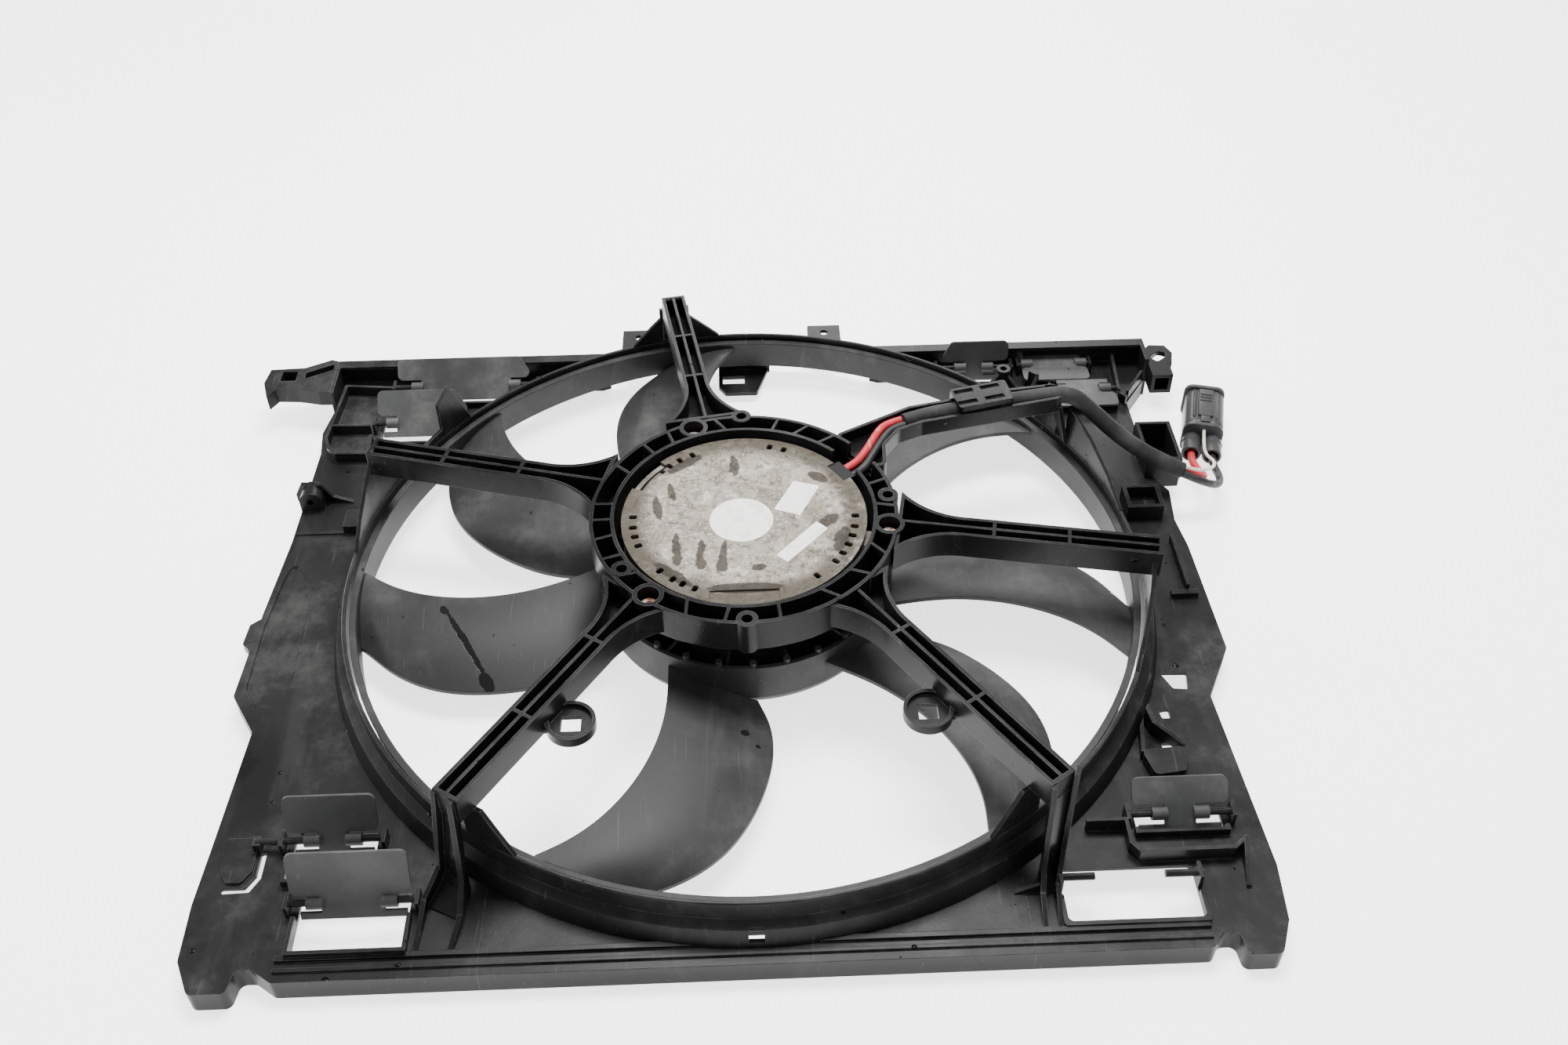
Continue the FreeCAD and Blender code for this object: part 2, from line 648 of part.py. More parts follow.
def left_cuts():
    """The trough and the slot that frees the end of the hooked tongue, drawn inward from the left edge."""
    slot = slab([(29.5, -184), (32.5, -184), (32.5, -200), (28, -208.5), (14, -209), (12.5, -205.5),
                 (25, -205.5), (29.5, -198)], -1, PLATE_TOP + 1, 1)
    return [placed(trough(), EDGE_LEFT, 0), placed(slot, EDGE_LEFT, 0)]


def right_panel():
    zone = block(RAIL_HALF, 400, -400, 400, -1, 200).fuse(block(0, RAIL_HALF, 0, 400, -1, 200))
    flaps = [flap for flap in FLAPS if flap[1] > 0]
    plate = cut_windows(plate_blank().common(zone), flaps)
    x0, x1, y0, y1 = DOCK_PLAN
    plate = plate.cut(block(x0, x1, y0, y1, -1, PLATE_TOP + 1))
    for corners in (EDGE_HOLE, FIRST_HOOK_HOLE, SECOND_HOOK_HOLE):
        plate = plate.cut(placed(slab(corners, -1, PLATE_TOP + 1, 1.0), EDGE_RIGHT, 0))
    x0, x1, y0, y1 = BARE_WINDOW
    plate = rounded_hole(plate, x0, x1, y0, y1)
    reach = y0 + BARE_RIM_REACH
    rim = slab([(x0 - BARE_RIM, y0 - BARE_RIM), (x1 + BARE_RIM, y0 - BARE_RIM), (x1 + BARE_RIM, reach),
                (x0 - BARE_RIM, reach)], PLATE_TOP, PLATE_TOP + BARE_RIM_HEIGHT, 2.0)
    pieces = [plate, rim.cut(slab([(x0, y0), (x1, y0), (x1, y1), (x0, y1)], 0, 60, WINDOW_CORNER))]
    for flap in flaps:
        pieces += window_frame(flap)
    for x, way in ((x0, 1), (x1, -1)):
        start = x - 3 if way > 0 else x - BARE_PIN_LENGTH
        pieces.append(Part.makeCylinder(PIN_RADIUS, BARE_PIN_LENGTH + 3, point(start, BARE_PIN_Y, FLAP_AXIS_Z),
                                        point(1, 0, 0)))
        cheek = x - CHEEK_THICK if way > 0 else x
        pieces.append(block(cheek, cheek + CHEEK_THICK, BARE_PIN_Y - 5, BARE_PIN_Y + 5,
                            PLATE_TOP, FLAP_AXIS_Z + PIN_RADIUS + 1))
    pieces += edge_beam(0, EDGE_RIGHT + 11)
    pieces += sill(RAIL_HALF, EDGE_RIGHT - 55)
    pieces += right_details()
    return joined(pieces).cut(disc(0, 0, -1, 200, BELL_FOOT_RADIUS))


def right_ear():
    """Slotted ear and its boxed foot, off the top right corner."""
    x = EDGE_RIGHT + 11
    ear = slab([(x, 226), (x + 5, 231), (x + 16, 230), (x + 20, 221), (x + 17, 208), (x, 208)],
               RAIL_TOP - 8, RAIL_TOP - 4)
    slot = slab([(x + 2.5, 216), (x + 10, 223.5), (x + 15, 221.5), (x + 14, 216), (x + 7, 210.5)],
                RAIL_TOP - 10, RAIL_TOP, 2.0)
    foot = block(x, x + 15, 194, 208, RAIL_TOP - 20, RAIL_TOP - 4)
    hollow = block(x + 2.5, x + 12.5, 193, 205.5, RAIL_TOP - 17, RAIL_TOP - 6.5)
    return joined([ear.cut(slot), foot.cut(hollow)])


def upper_dock():
    """Open-topped box on the right edge that parks the harness plug."""
    x0, x1, y0, y1 = DOCK_PLAN
    wall = SKIRT_THICK
    return block(x0, x1, y0, y1, 6, 30).cut(block(x0 + wall, x1 - wall, y0 + wall, y1 - wall, 6 + wall, 31))


def lower_dock():
    """Open-topped box that stands on the plate beside the sheath."""
    x0, x1, y0, y1 = LOWER_DOCK_PLAN
    wall = SKIRT_THICK
    box = block(x0, x1, y0, y1, PLATE_TOP, LOWER_DOCK_TOP)
    return box.cut(block(x0 + wall, x1 - wall, y0 + wall, y1 - wall, PLATE_TOP + 2, LOWER_DOCK_TOP + 1))


def right_details():
    """Corner wall, gussets, hooks, tower boss and the tray round the lower flap.

    Here x is measured outward from the right edge, so most of it is negative.
    """
    pieces = [
        block(8, 11, 208, EDGE_TOP, 0, RAIL_TOP),
        block(-12, -10, -12, 34, PLATE_TOP, PLATE_TOP + 7),
        block(-22, -5, -17, -13, PLATE_TOP, PLATE_TOP + 4),
        fin((-62, -108), (-58, -124), 2.4, PLATE_TOP, PLATE_TOP + 15, PLATE_TOP + 11),
        fin((-58, -124), (-42.5, -137), 2.4, PLATE_TOP, PLATE_TOP + 11, PLATE_TOP + 6),
        disc(-58, -124, PLATE_TOP, PLATE_TOP + 11, 1.2),
        fin((-62, -108), (-67, -142), 2.4, PLATE_TOP, PLATE_TOP + 8, PLATE_TOP + 7),
        slab([(-68.5, -142), (-42.5, -140), (-46, -157), (-64, -159.5)], PLATE_TOP, PLATE_TOP + 8.5, 3),
        fin((-26.2, -203), (-29.5, -228), 2.6, PLATE_TOP, PLATE_TOP + 11, PLATE_TOP + 2),
        fin((-152, -226), (-139, -225), 2.0, PLATE_TOP, PLATE_TOP + 1, PLATE_TOP + 6),
        fin((-12, 226), (-14.5, 183), 2.0, PLATE_TOP, PLATE_TOP + 10, PLATE_TOP + 8),
        fin((-14.5, 183), (-10.5, 178), 2.0, PLATE_TOP, PLATE_TOP + 8, PLATE_TOP + 8),
        fin((-8.5, 184), (6, 205), 2.0, PLATE_TOP, PLATE_TOP + 8, PLATE_TOP + 10),
        pipe(-98.5, 191.5, PLATE_TOP, 40, 5.0, 2.4),
        fin((-102, 189), (-111, 183), 2.4, PLATE_TOP, 38, 30),
        fin((-95, 188), (-83, 178), 2.4, PLATE_TOP, 36, 22),
        fin((-79, 194), (-74, 189), 2.4, PLATE_TOP, 36, 36),
        fin((-74, 189), (-82, 178), 2.4, PLATE_TOP, 36, 22),
    ]
    pieces += wall_path([(-108, -188.2), (-86.7, -188.4), (-87, -203.4), (-82.8, -209.0), (-33.2, -208.6), (-26.2, -203.0)],
                        CORNER_WALL, PLATE_TOP, TRAY_TOP)
    return [placed(piece, EDGE_RIGHT, 0) for piece in pieces]


def ring_profile():
    outer = DUCT_INNER + DUCT_WALL
    return [
        (DUCT_INNER, PLATE_UNDER),
        (DUCT_INNER, LIP_TOP - LIP_EDGE),
        (DUCT_INNER + LIP_EDGE, LIP_TOP),
        (outer - LIP_EDGE, LIP_TOP),
        (outer, LIP_TOP - LIP_EDGE),
        (outer, BELL_NECK_Z),
        (BELL_STEP_RADIUS, BELL_STEP_Z),
        (BELL_FOOT_RADIUS, PLATE_TOP),
        (BELL_FOOT_RADIUS, PLATE_UNDER),
        (BELL_FOOT_RADIUS - 2.4, PLATE_UNDER),
        (BELL_STEP_RADIUS - 1.8, BELL_STEP_Z - 2.4),
        (outer, BELL_NECK_Z - 2.6),
        (outer, PLATE_UNDER),
    ]


def shroud_ring():
    """The ring duct, its bell step, the bolt tabs and the tongue at the far side."""
    pieces = [turned_profile(ring_profile())]
    for x in TOP_TAB_X:
        half = TOP_TAB_SIZE / 2
        tab = block(x - half, x + half, 236, TOP_TAB_Y + 9, TOP_TAB_UNDER, RAIL_TOP)
        for side in (-1, 1):
            edge = x + side * (half - 1)
            tab = tab.fuse(block(edge - 1, edge + 1, 236, TOP_TAB_Y + 9, TOP_TAB_UNDER - 10, RAIL_TOP))
        tab = tab.cut(disc(x, TOP_TAB_Y, 0, 60, TOP_TAB_HOLE))
        pieces.append(tab.cut(disc(0, 0, -1, 60, DUCT_INNER + 0.5)))
    tongue = slab([(-16, 246), (-16, 222), (-11, 214), (12, 214), (22, 246)], PLATE_UNDER - 7, PLATE_UNDER - 4, 2)
    tongue = tongue.cut(block(-13, 3, 225, 234, 0, PLATE_UNDER))
    root = block(-16, 22, 242, 246, PLATE_UNDER - 7, PLATE_UNDER + 1)
    pieces += [tongue, root]
    slot = block(-4, 4, -252, -248, BELL_STEP_Z - 8, BELL_STEP_Z + 4)
    return joined(pieces).cut(slot)


def bottom_rail():
    """The middle of the bottom edge: a floor under the ring and the stepped sill."""
    zone = block(-RAIL_HALF, RAIL_HALF, -400, 0, -1, 200)
    pieces = [plate_blank().common(zone)] + sill(-RAIL_HALF, RAIL_HALF)
    return joined(pieces).cut(disc(0, 0, -1, 200, BELL_FOOT_RADIUS))


# Motor carrier

def carrier_ring():
    """Double-walled ring with ribbed cells, hollow bosses and three screw pads."""
    inner = pipe(0, 0, CARRIER_UNDER, CARRIER_TOP, CARRIER_INNER + CARRIER_WALL, CARRIER_INNER)
    outer = pipe(0, 0, CARRIER_UNDER, CARRIER_TOP, CARRIER_OUTER, CARRIER_OUTER - CARRIER_WALL)
    floor = pipe(0, 0, CARRIER_UNDER, CARRIER_UNDER + CARRIER_FLOOR, CARRIER_OUTER, CARRIER_INNER)
    pieces = [inner, outer, floor]
    rib_angles = ((172, 173), (182, 182), (192, 193), (205, 204), (151, 149), (134, 133), (123, 121),
                  (97, 101), (76, 75), (66, 62), (53, 50), (33, 30), (16, 17), (3, 1), (-22, -26), (-41, -38),
                  (-58, -54), (-77, -78), (-97, -98), (-115, -112), (-142, -145))
    middle = CARRIER_INNER + CARRIER_WALL / 2
    rim = CARRIER_OUTER - CARRIER_WALL / 2
    for near, far in rib_angles:
        pieces.append(wall(around(middle, near), around(rim, far), 1.8, CARRIER_UNDER, CARRIER_TOP))
    for x, y in BOSSES:
        pieces.append(disc(x, y, CARRIER_UNDER, CARRIER_TOP + 0.6, BOSS_OUTER))
    for angle in SCREW_ANGLES:
        x, y = around(SCREW_CIRCLE, angle)
        pieces.append(disc(x, y, CARRIER_UNDER, CARRIER_TOP, BULGE_RADIUS))
        pieces.append(sector(CARRIER_INNER, CARRIER_OUTER, SCREW_PAD_TOP - SCREW_PAD_THICK, SCREW_PAD_TOP,
                             angle - 6, angle + 6))
    ring = joined(pieces)
    for x, y in BOSSES:
        ring = ring.cut(disc(x, y, CARRIER_UNDER - 1, CARRIER_TOP + 2, BOSS_BORE))
    for angle in SCREW_ANGLES:
        x, y = around(SCREW_CIRCLE, angle)
        ring = ring.cut(disc(x, y, CARRIER_UNDER - 1, CARRIER_TOP, SCREW_SHANK + SCREW_CLEARANCE))
        ring = ring.cut(ear(angle, SCREW_CLEARANCE, EAR_RELIEF))
        ring = ring.cut(disc(x, y, SCREW_PAD_TOP, CARRIER_TOP + 1, SCREW_WELL))
    notch = block(CARRIER_INNER - 2, CARRIER_OUTER + 2, -GROMMET_HALF, GROMMET_HALF + 6,
                  LEAD_EXIT_Z - POWER_LEAD_RADIUS - 0.7, CARRIER_TOP + 1)
    return ring.cut(placed(notch, 0, 0, LEAD_ANGLE))


def ear(angle, gap=0.0, extra=0.0):
    """A round-ended motor ear, grown by a gap and lowered by an extra depth."""
    half = EAR_WIDTH / 2 + gap
    top = SCREW_PAD_TOP - SCREW_PAD_THICK
    under = top - EAR_THICK - extra
    tongue = block(HOUSING_RADIUS - 2, SCREW_CIRCLE, -half, half, under, top)
    return placed(tongue.fuse(disc(SCREW_CIRCLE, 0, under, top, half)), 0, 0, angle)


def strut_blank(length, width, flare_left, flare_right):
    """Plan of one strut along +X, starting inside the carrier ring."""
    half = width / 2
    corners = [
        point(-8, half + flare_left),
        point(STRUT_FLARE_LENGTH, half),
        point(length, half),
        point(length, -half),
        point(STRUT_FLARE_LENGTH, -half),
        point(-8, -half - flare_right),
    ]
    upper = point(6, half + 0.36 * flare_left)
    lower = point(6, -half - 0.36 * flare_right)
    edges = [
        Part.Arc(corners[0], upper, corners[1]).toShape(),
        Part.LineSegment(corners[1], corners[2]).toShape(),
        Part.LineSegment(corners[2], corners[3]).toShape(),
        Part.LineSegment(corners[3], corners[4]).toShape(),
        Part.Arc(corners[4], lower, corners[5]).toShape(),
        Part.LineSegment(corners[5], corners[0]).toShape(),
    ]
    return Part.Face(Part.Wire(edges))


def clear_of_carrier(shape):
    """A strut cut back to the outside of the carrier ring and clear of the motor's ears."""
    shape = shape.cut(disc(0, 0, 0, 120, CARRIER_OUTER))
    for angle in SCREW_ANGLES:
        x, y = around(SCREW_CIRCLE, angle)
        shape = shape.cut(disc(x, y, 0, 120, BULGE_RADIUS))
        shape = shape.cut(ear(angle, SCREW_CLEARANCE, EAR_RELIEF))
    for x, y in BOSSES:
        shape = shape.cut(disc(x, y, 0, 120, BOSS_OUTER))
    return shape


def strut(start, finish, stations, floor_z, width=STRUT_WIDTH, rib=True,
          flares=(STRUT_FLARE, STRUT_FLARE)):
    """An open-topped channel beam with a middle rib and cross ribs."""
    run = point(*finish) - point(*start)
    face = strut_blank(run.Length, width, flares[0], flares[1])
    body = face.extrude(point(0, 0, STRUT_TOP - floor_z))
    pocket = face.makeOffset2D(-STRUT_WALL).extrude(point(0, 0, STRUT_TOP - floor_z))
    pocket.translate(point(0, 0, STRUT_FLOOR))
    if rib:
        pocket = pocket.cut(block(-20, run.Length, -0.9, 0.9, 0, 60))
    for station in stations:
        pocket = pocket.cut(block(station, station + 2, -60, 60, 0, 60))
    beam = body.cut(pocket)
    angle = math.degrees(math.atan2(run.y, run.x))
    beam = placed(beam, start[0], start[1], angle, floor_z)
    return clear_of_carrier(beam)


def leg_fins(angle_start, angle_finish, top_start, top_finish):
    """A sloped fin standing on the ring's lip, in short straight stretches."""
    steps = 3
    pieces = []
    radius = DUCT_INNER + DUCT_WALL / 2
    for index in range(steps):
        a = angle_start + (angle_finish - angle_start) * index / steps
        b = angle_start + (angle_finish - angle_start) * (index + 1) / steps
        ta = top_start + (top_finish - top_start) * index / steps
        tb = top_start + (top_finish - top_start) * (index + 1) / steps
        pieces.append(fin(around(radius, a), around(radius, b), DUCT_WALL, LIP_TOP, ta, tb))
    return pieces


def plan_angle(spot):
    return math.degrees(math.atan2(spot[1], spot[0]))


def upright(start, finish, profile):
    """A closed wire in the upright plane through two plan points, from distance and height pairs."""
    a = point(*start)
    way = (point(*finish) - a).normalize()
    loop = [a + way * distance + point(0, 0, z) for distance, z in profile]
    return Part.makePolygon(loop + [loop[0]])


def end_leg(start, finish, floor_z, width, top=STRUT_TOP - 1):
    """The leaning wall that carries a strut's outer end on the ring's lip."""
    a = point(*start)
    run = point(*finish) - a
    length = run.Length
    way = point(*finish).sub(a).normalize()
    along = a.dot(way)
    foot = -along + math.sqrt(along ** 2 + LIP_RADIUS ** 2 - a.dot(a))
    half_wall = LEG_THICK / 2
    profile = [(length - LEG_THICK, top), (length, top), (foot + half_wall, LIP_TOP),
               (foot - half_wall, LIP_TOP), (length - LEG_THICK, floor_z)]
    side = point(-way.y, way.x) * width
    leg = Part.Face(upright(start, finish, profile)).extrude(side)
    leg.translate(side * -0.5)
    return leg


def strut_with_legs(start, finish, stations, fins, floor_z=STRUT_TOP - STRUT_DEPTH, leg=True, **shape):
    """One strut, the leg under its outer end and the fins that run down to the lip."""
    pieces = [strut(start, finish, stations, floor_z, **shape)]
    if leg:
        pieces.append(end_leg(start, finish, floor_z, STRUT_WIDTH))
    for first, last, top_first, top_last in fins:
        pieces += leg_fins(first, last, top_first, top_last)
    return joined(pieces)


def strut_top():
    fins = ((103, 108.5, 62, FIN_END), (99, 93.5, 62, FIN_END), (98.5, 103.5, 68, 68))
    return strut_with_legs(TOP_START, TOP_FINISH, (38, 84), fins)


def strut_upper_left():
    fins = ((140.3, 143.8, FIN_END, 74), (143.8, 146.6, 74, 66), (146.6, 152, 46, 44), (152, 160.5, 44, 76),
            (160.5, 164, 74, 74), (164, 175, 76, FIN_END))
    return strut_with_legs(UPPER_LEFT_START, UPPER_LEFT_FINISH, (46, 96), fins)


def strut_right():
    fins = ((-9.5, -24, 78, FIN_END), (-9.5, -2, 78, FIN_END + 4))
    return strut_with_legs(RIGHT_START, RIGHT_FINISH, (48, 92), fins)


def lower_leg(outer, inner):
    """Two ribs and a web that fall from a lower strut's end and run out to the bottom edge."""
    pieces = []
    for top, knee, foot in (outer, inner):
        reach = (point(*knee) - point(*top)).Length
        ribs = [(-9, 64), (-6, 81), (0, 81), (9.5, 30), (reach, KNEE_Z), (reach, PLATE_TOP), (1.5, PLATE_TOP), (1.5, 30)]
        rib = Part.Face(upright(top, knee, ribs))
        way = (point(*knee) - point(*top)).normalize()
        side = point(-way.y, way.x) * LEG_THICK
        rib.translate(side * -0.5)
        pieces.append(rib.extrude(side))
        pieces.append(disc(knee[0], knee[1], PLATE_TOP, KNEE_Z, LEG_THICK / 2))
        pieces.append(fin(knee, foot, LEG_THICK, PLATE_TOP, KNEE_Z, PLATE_TOP + 1.2))
    web_wires = []
    for top, knee, foot in (outer, inner):
        reach = (point(*knee) - point(*top)).Length
        web = [(-9, 64), (-6, 68), (-3, 68), (5.5, 25), (10, 20), (reach, PLATE_TOP + 1), (reach, PLATE_TOP),
               (1.5, PLATE_TOP), (1.5, 30)]
        web_wires.append(upright(top, knee, web))
    pieces.append(Part.makeLoft(web_wires, True, True))
    return joined(pieces)


def lower_strut(side, start, finish, outer, inner, stations, panel):
    """A lower strut with its fins, its ribbed leg and its locating disc, standing on its panel."""
    turn = -side
    angle = plan_angle(finish)
    fins = ((angle - turn * 0.5, angle + turn * 2.8, 64, 66), (angle + turn * 2.8, angle + turn * 7, 66, FIN_END))
    whole = strut_with_legs(start, finish, stations, fins, leg=False)
    return joined([whole, lower_leg(outer, inner).cut(panel), locator(side)])


def cable_strut():
    """Open channel that carries the sheath from the carrier ring to the ring's lip."""
    body = slab(CHANNEL_PLAN, CHANNEL_FLOOR_Z, STRUT_TOP, 5.0)
    face = Part.Face(outline(CHANNEL_PLAN, 5.0)).makeOffset2D(-STRUT_WALL)
    pocket = face.extrude(point(0, 0, STRUT_TOP))
    pocket.translate(point(0, 0, CHANNEL_FLOOR_Z + STRUT_FLOOR))
    beam = clear_of_carrier(body.cut(pocket))
    mouth = block(200, 214, CHANNEL_MOUTH[0], CHANNEL_MOUTH[1], CHANNEL_FLOOR_Z + STRUT_FLOOR, STRUT_TOP + 1)
    pieces = [beam.cut(mouth), end_leg((160.0, 101.5), CABLE_FINISH, CHANNEL_FLOOR_Z, 14.0,
                                     top=CHANNEL_FLOOR_Z + STRUT_FLOOR)]
    for first, last, top_first, top_last in ((26.6, 9, 70, FIN_END), (29.0, 34, 70, FIN_END)):
        pieces += leg_fins(first, last, top_first, top_last)
    return joined(pieces)


def locator(side):
    """Round tab with a square hole, on a short arm under a lower strut."""
    x = side * LOCATOR_X
    top = LOCATOR_UNDER + LOCATOR_THICK
    half = LOCATOR_HOLE / 2
    tab = disc(x, LOCATOR_Y, LOCATOR_UNDER, top, LOCATOR_RADIUS)
    arm = wall((x, LOCATOR_Y), (side * 119.0, -143.0), 12.0, LOCATOR_UNDER, LOCATOR_UNDER + 3)
    hole = block(x - half, x + half, LOCATOR_Y - half, LOCATOR_Y + half, 0, 100)
    dish = disc(x, LOCATOR_Y, LOCATOR_UNDER + 3, top + 1, LOCATOR_RADIUS - 2)
    return tab.fuse(arm).cut(dish).cut(hole)


# Motor

def motor_housing():
    """Cast cup with three ears and the tube that carries the bearings."""
    top = COVER_TOP - COVER_THICK
    cup = disc(0, 0, HOUSING_UNDER, top, HOUSING_RADIUS)
    cup = cup.cut(disc(0, 0, HOUSING_UNDER + HOUSING_WALL, top + 1, HOUSING_RADIUS - HOUSING_WALL))
    bearing_tube = disc(0, 0, 18, HOUSING_UNDER + HOUSING_WALL, BEARING_TUBE_OUTER)
    pieces = [cup, bearing_tube]
    pieces += [ear(angle) for angle in SCREW_ANGLES]
    for index in range(4):
        x, y = around(BOARD_RADIUS - 8, 45 + 90 * index)
        pieces.append(disc(x, y, HOUSING_UNDER + 1, BOARD_Z, 3.5))
    housing = joined(pieces)
    housing = housing.cut(disc(0, 0, 0, 100, BEARING_OUTER))
    for angle in SCREW_ANGLES:
        x, y = around(SCREW_CIRCLE, angle)
        housing = housing.cut(disc(x, y, 0, 100, SCREW_SHANK))
    return housing.cut(lead_notch(COVER_TOP - GROMMET_DEPTH, COVER_TOP + 1))


def lead_notch(z0, z1):
    """The gap in the motor's wall for the leads, or the grommet that fills it."""
    notch = block(HOUSING_RADIUS - 5, GROMMET_FACE, -GROMMET_HALF, GROMMET_HALF, z0, z1)
    return placed(notch, 0, 0, LEAD_ANGLE)


def lead_grommet():
    return lead_notch(COVER_TOP - GROMMET_DEPTH, COVER_TOP - 0.6)


def motor_cover():
    """Pressed end cover with vent slots round its rim, two notches and a stepped edge."""
    under = COVER_TOP - COVER_THICK
    cover = disc(0, 0, under, COVER_TOP, HOUSING_RADIUS + 0.6)
    slots = (118, 126, 133, 139, 75, 67, 178, 186, 193, 200, 222, 231, 237, 244, -52, -38, -31, -24, -17, -10, -2)
    for angle in slots:
        x, y = around(HOUSING_RADIUS - 6.5, angle)
        cover = cover.cut(placed(slab([(-2.4, -1.7), (2.4, -1.7), (2.4, 1.7), (-2.4, 1.7)], under - 1,
                                      COVER_TOP + 1, 1.2), x, y, angle))
    cover = cover.cut(sector(HOUSING_RADIUS - 6, HOUSING_RADIUS + 4, under - 1, COVER_TOP + 1, 134, 157))
    recess = block(-21, 19, -69, -62, COVER_TOP - 1.0, COVER_TOP + 1)
    return cover.cut(recess).cut(lead_notch(under - 1, COVER_TOP + 1))


def control_board():
    board = disc(0, 0, BOARD_Z, BOARD_Z + BOARD_THICK, BOARD_RADIUS)
    return board.cut(disc(0, 0, 0, 100, 11.0))


def board_parts():
    """Capacitors, a choke and the switching devices, standing on the board."""
    z = BOARD_Z + BOARD_THICK
    pieces = []
    for x, y in ((-34, 22), (-38, 0), (-34, -22)):
        can = Part.makeCylinder(5.5, 20, point(x - 10, y, z + 5.5), point(1, 0, 0))
        pieces.append(can)
    pieces.append(pipe(32, 18, z, z + 9, 10, 4.5))
    for index in range(6):
        pieces.append(block(18, 30, -40 + index * 8, -34 + index * 8, z, z + 4.5))
    return Part.makeCompound(pieces)


def bearing(z0):
    return pipe(0, 0, z0, z0 + BEARING_LENGTH, BEARING_OUTER, SHAFT_RADIUS + RUNNING_CLEARANCE)


def stator_core():
    pieces = [pipe(0, 0, STATOR_UNDER, STATOR_TOP, STATOR_BACK, BEARING_TUBE_OUTER)]
    for index in range(STATOR_TEETH):
        angle = 360.0 * index / STATOR_TEETH
        tooth = block(STATOR_BACK - 2, STATOR_OUTER - 2.5, -TOOTH_WIDTH / 2, TOOTH_WIDTH / 2,
                      STATOR_UNDER, STATOR_TOP)
        pieces.append(placed(tooth, 0, 0, angle))
        pieces.append(sector(STATOR_OUTER - 4.5, STATOR_OUTER, STATOR_UNDER, STATOR_TOP, angle - 11, angle + 11))
    return joined(pieces)


def stator_coils():
    coils = []
    half = TOOTH_WIDTH / 2
    for index in range(STATOR_TEETH):
        outer = block(STATOR_BACK + 2.5, STATOR_OUTER - 5.5, -half - COIL_THICK, half + COIL_THICK,
                      STATOR_UNDER - COIL_THICK, STATOR_TOP + COIL_THICK)
        core = block(0, 100, -half, half, STATOR_UNDER, STATOR_TOP)
        coils.append(placed(outer.cut(core), 0, 0, 360.0 * index / STATOR_TEETH))
    return Part.makeCompound(coils)


def motor_screws():
    screws = []
    for angle in SCREW_ANGLES:
        x, y = around(SCREW_CIRCLE, angle)
        head = disc(x, y, SCREW_PAD_TOP, SCREW_PAD_TOP + SCREW_HEAD_HEIGHT, SCREW_HEAD)
        head = head.cut(disc(x, y, SCREW_PAD_TOP + 1.6, SCREW_PAD_TOP + 10, 2.0))
        shank = disc(x, y, SCREW_PAD_TOP - SCREW_PAD_THICK - EAR_THICK + 0.5, SCREW_PAD_TOP, SCREW_SHANK)
        screws.append(head.fuse(shank))
    return Part.makeCompound(screws)


def label(corners):
    return slab(corners, COVER_TOP, COVER_TOP + LABEL_THICK, LABEL_CORNER)


# Rotor and fan wheel

def rotor_bell():
    bell = disc(0, 0, BELL_UNDER, BELL_TOP, BELL_OUTER)
    bell = bell.cut(disc(0, 0, BELL_UNDER + BELL_WALL, BELL_TOP + 1, BELL_OUTER - BELL_WALL))
    bell = bell.fuse(disc(0, 0, BELL_UNDER, BELL_UNDER + BELL_WALL + 0.8, 7.5))
    for index in range(HUB_SCREW_COUNT):
        x, y = around(HUB_SCREW_CIRCLE, 45 + 360.0 * index / HUB_SCREW_COUNT)
        bell = bell.cut(disc(x, y, 0, 50, 1.9))
    for index in range(6):
        x, y = around(26, 60 * index)
        bell = bell.cut(disc(x, y, 0, 50, 5.0))
    return bell.cut(disc(0, 0, 0, 100, SHAFT_RADIUS))


def magnets():
    """Flat-sided magnet segments round the inside of the bell."""
    outer = BELL_OUTER - BELL_WALL
    pitch = 360.0 / MAGNET_COUNT
    return Part.makeCompound([
        sector(outer - MAGNET_THICK, outer, BELL_UNDER + BELL_WALL + 1.4, BELL_TOP - 1.0,
               index * pitch + 1, (index + 1) * pitch - 1) for index in range(MAGNET_COUNT)])


def motor_shaft():
    return disc(0, 0, HUB_UNDER + 0.8, HOUSING_UNDER + 1.0, SHAFT_RADIUS)


def hub_screws():
    screws = []
    for index in range(HUB_SCREW_COUNT):
        x, y = around(HUB_SCREW_CIRCLE, 45 + 360.0 * index / HUB_SCREW_COUNT)
        head = disc(x, y, HUB_UNDER - 2.0, HUB_UNDER, 3.8)
        screws.append(head.fuse(disc(x, y, HUB_UNDER, BELL_UNDER + BELL_WALL, 1.9)))
    return Part.makeCompound(screws)


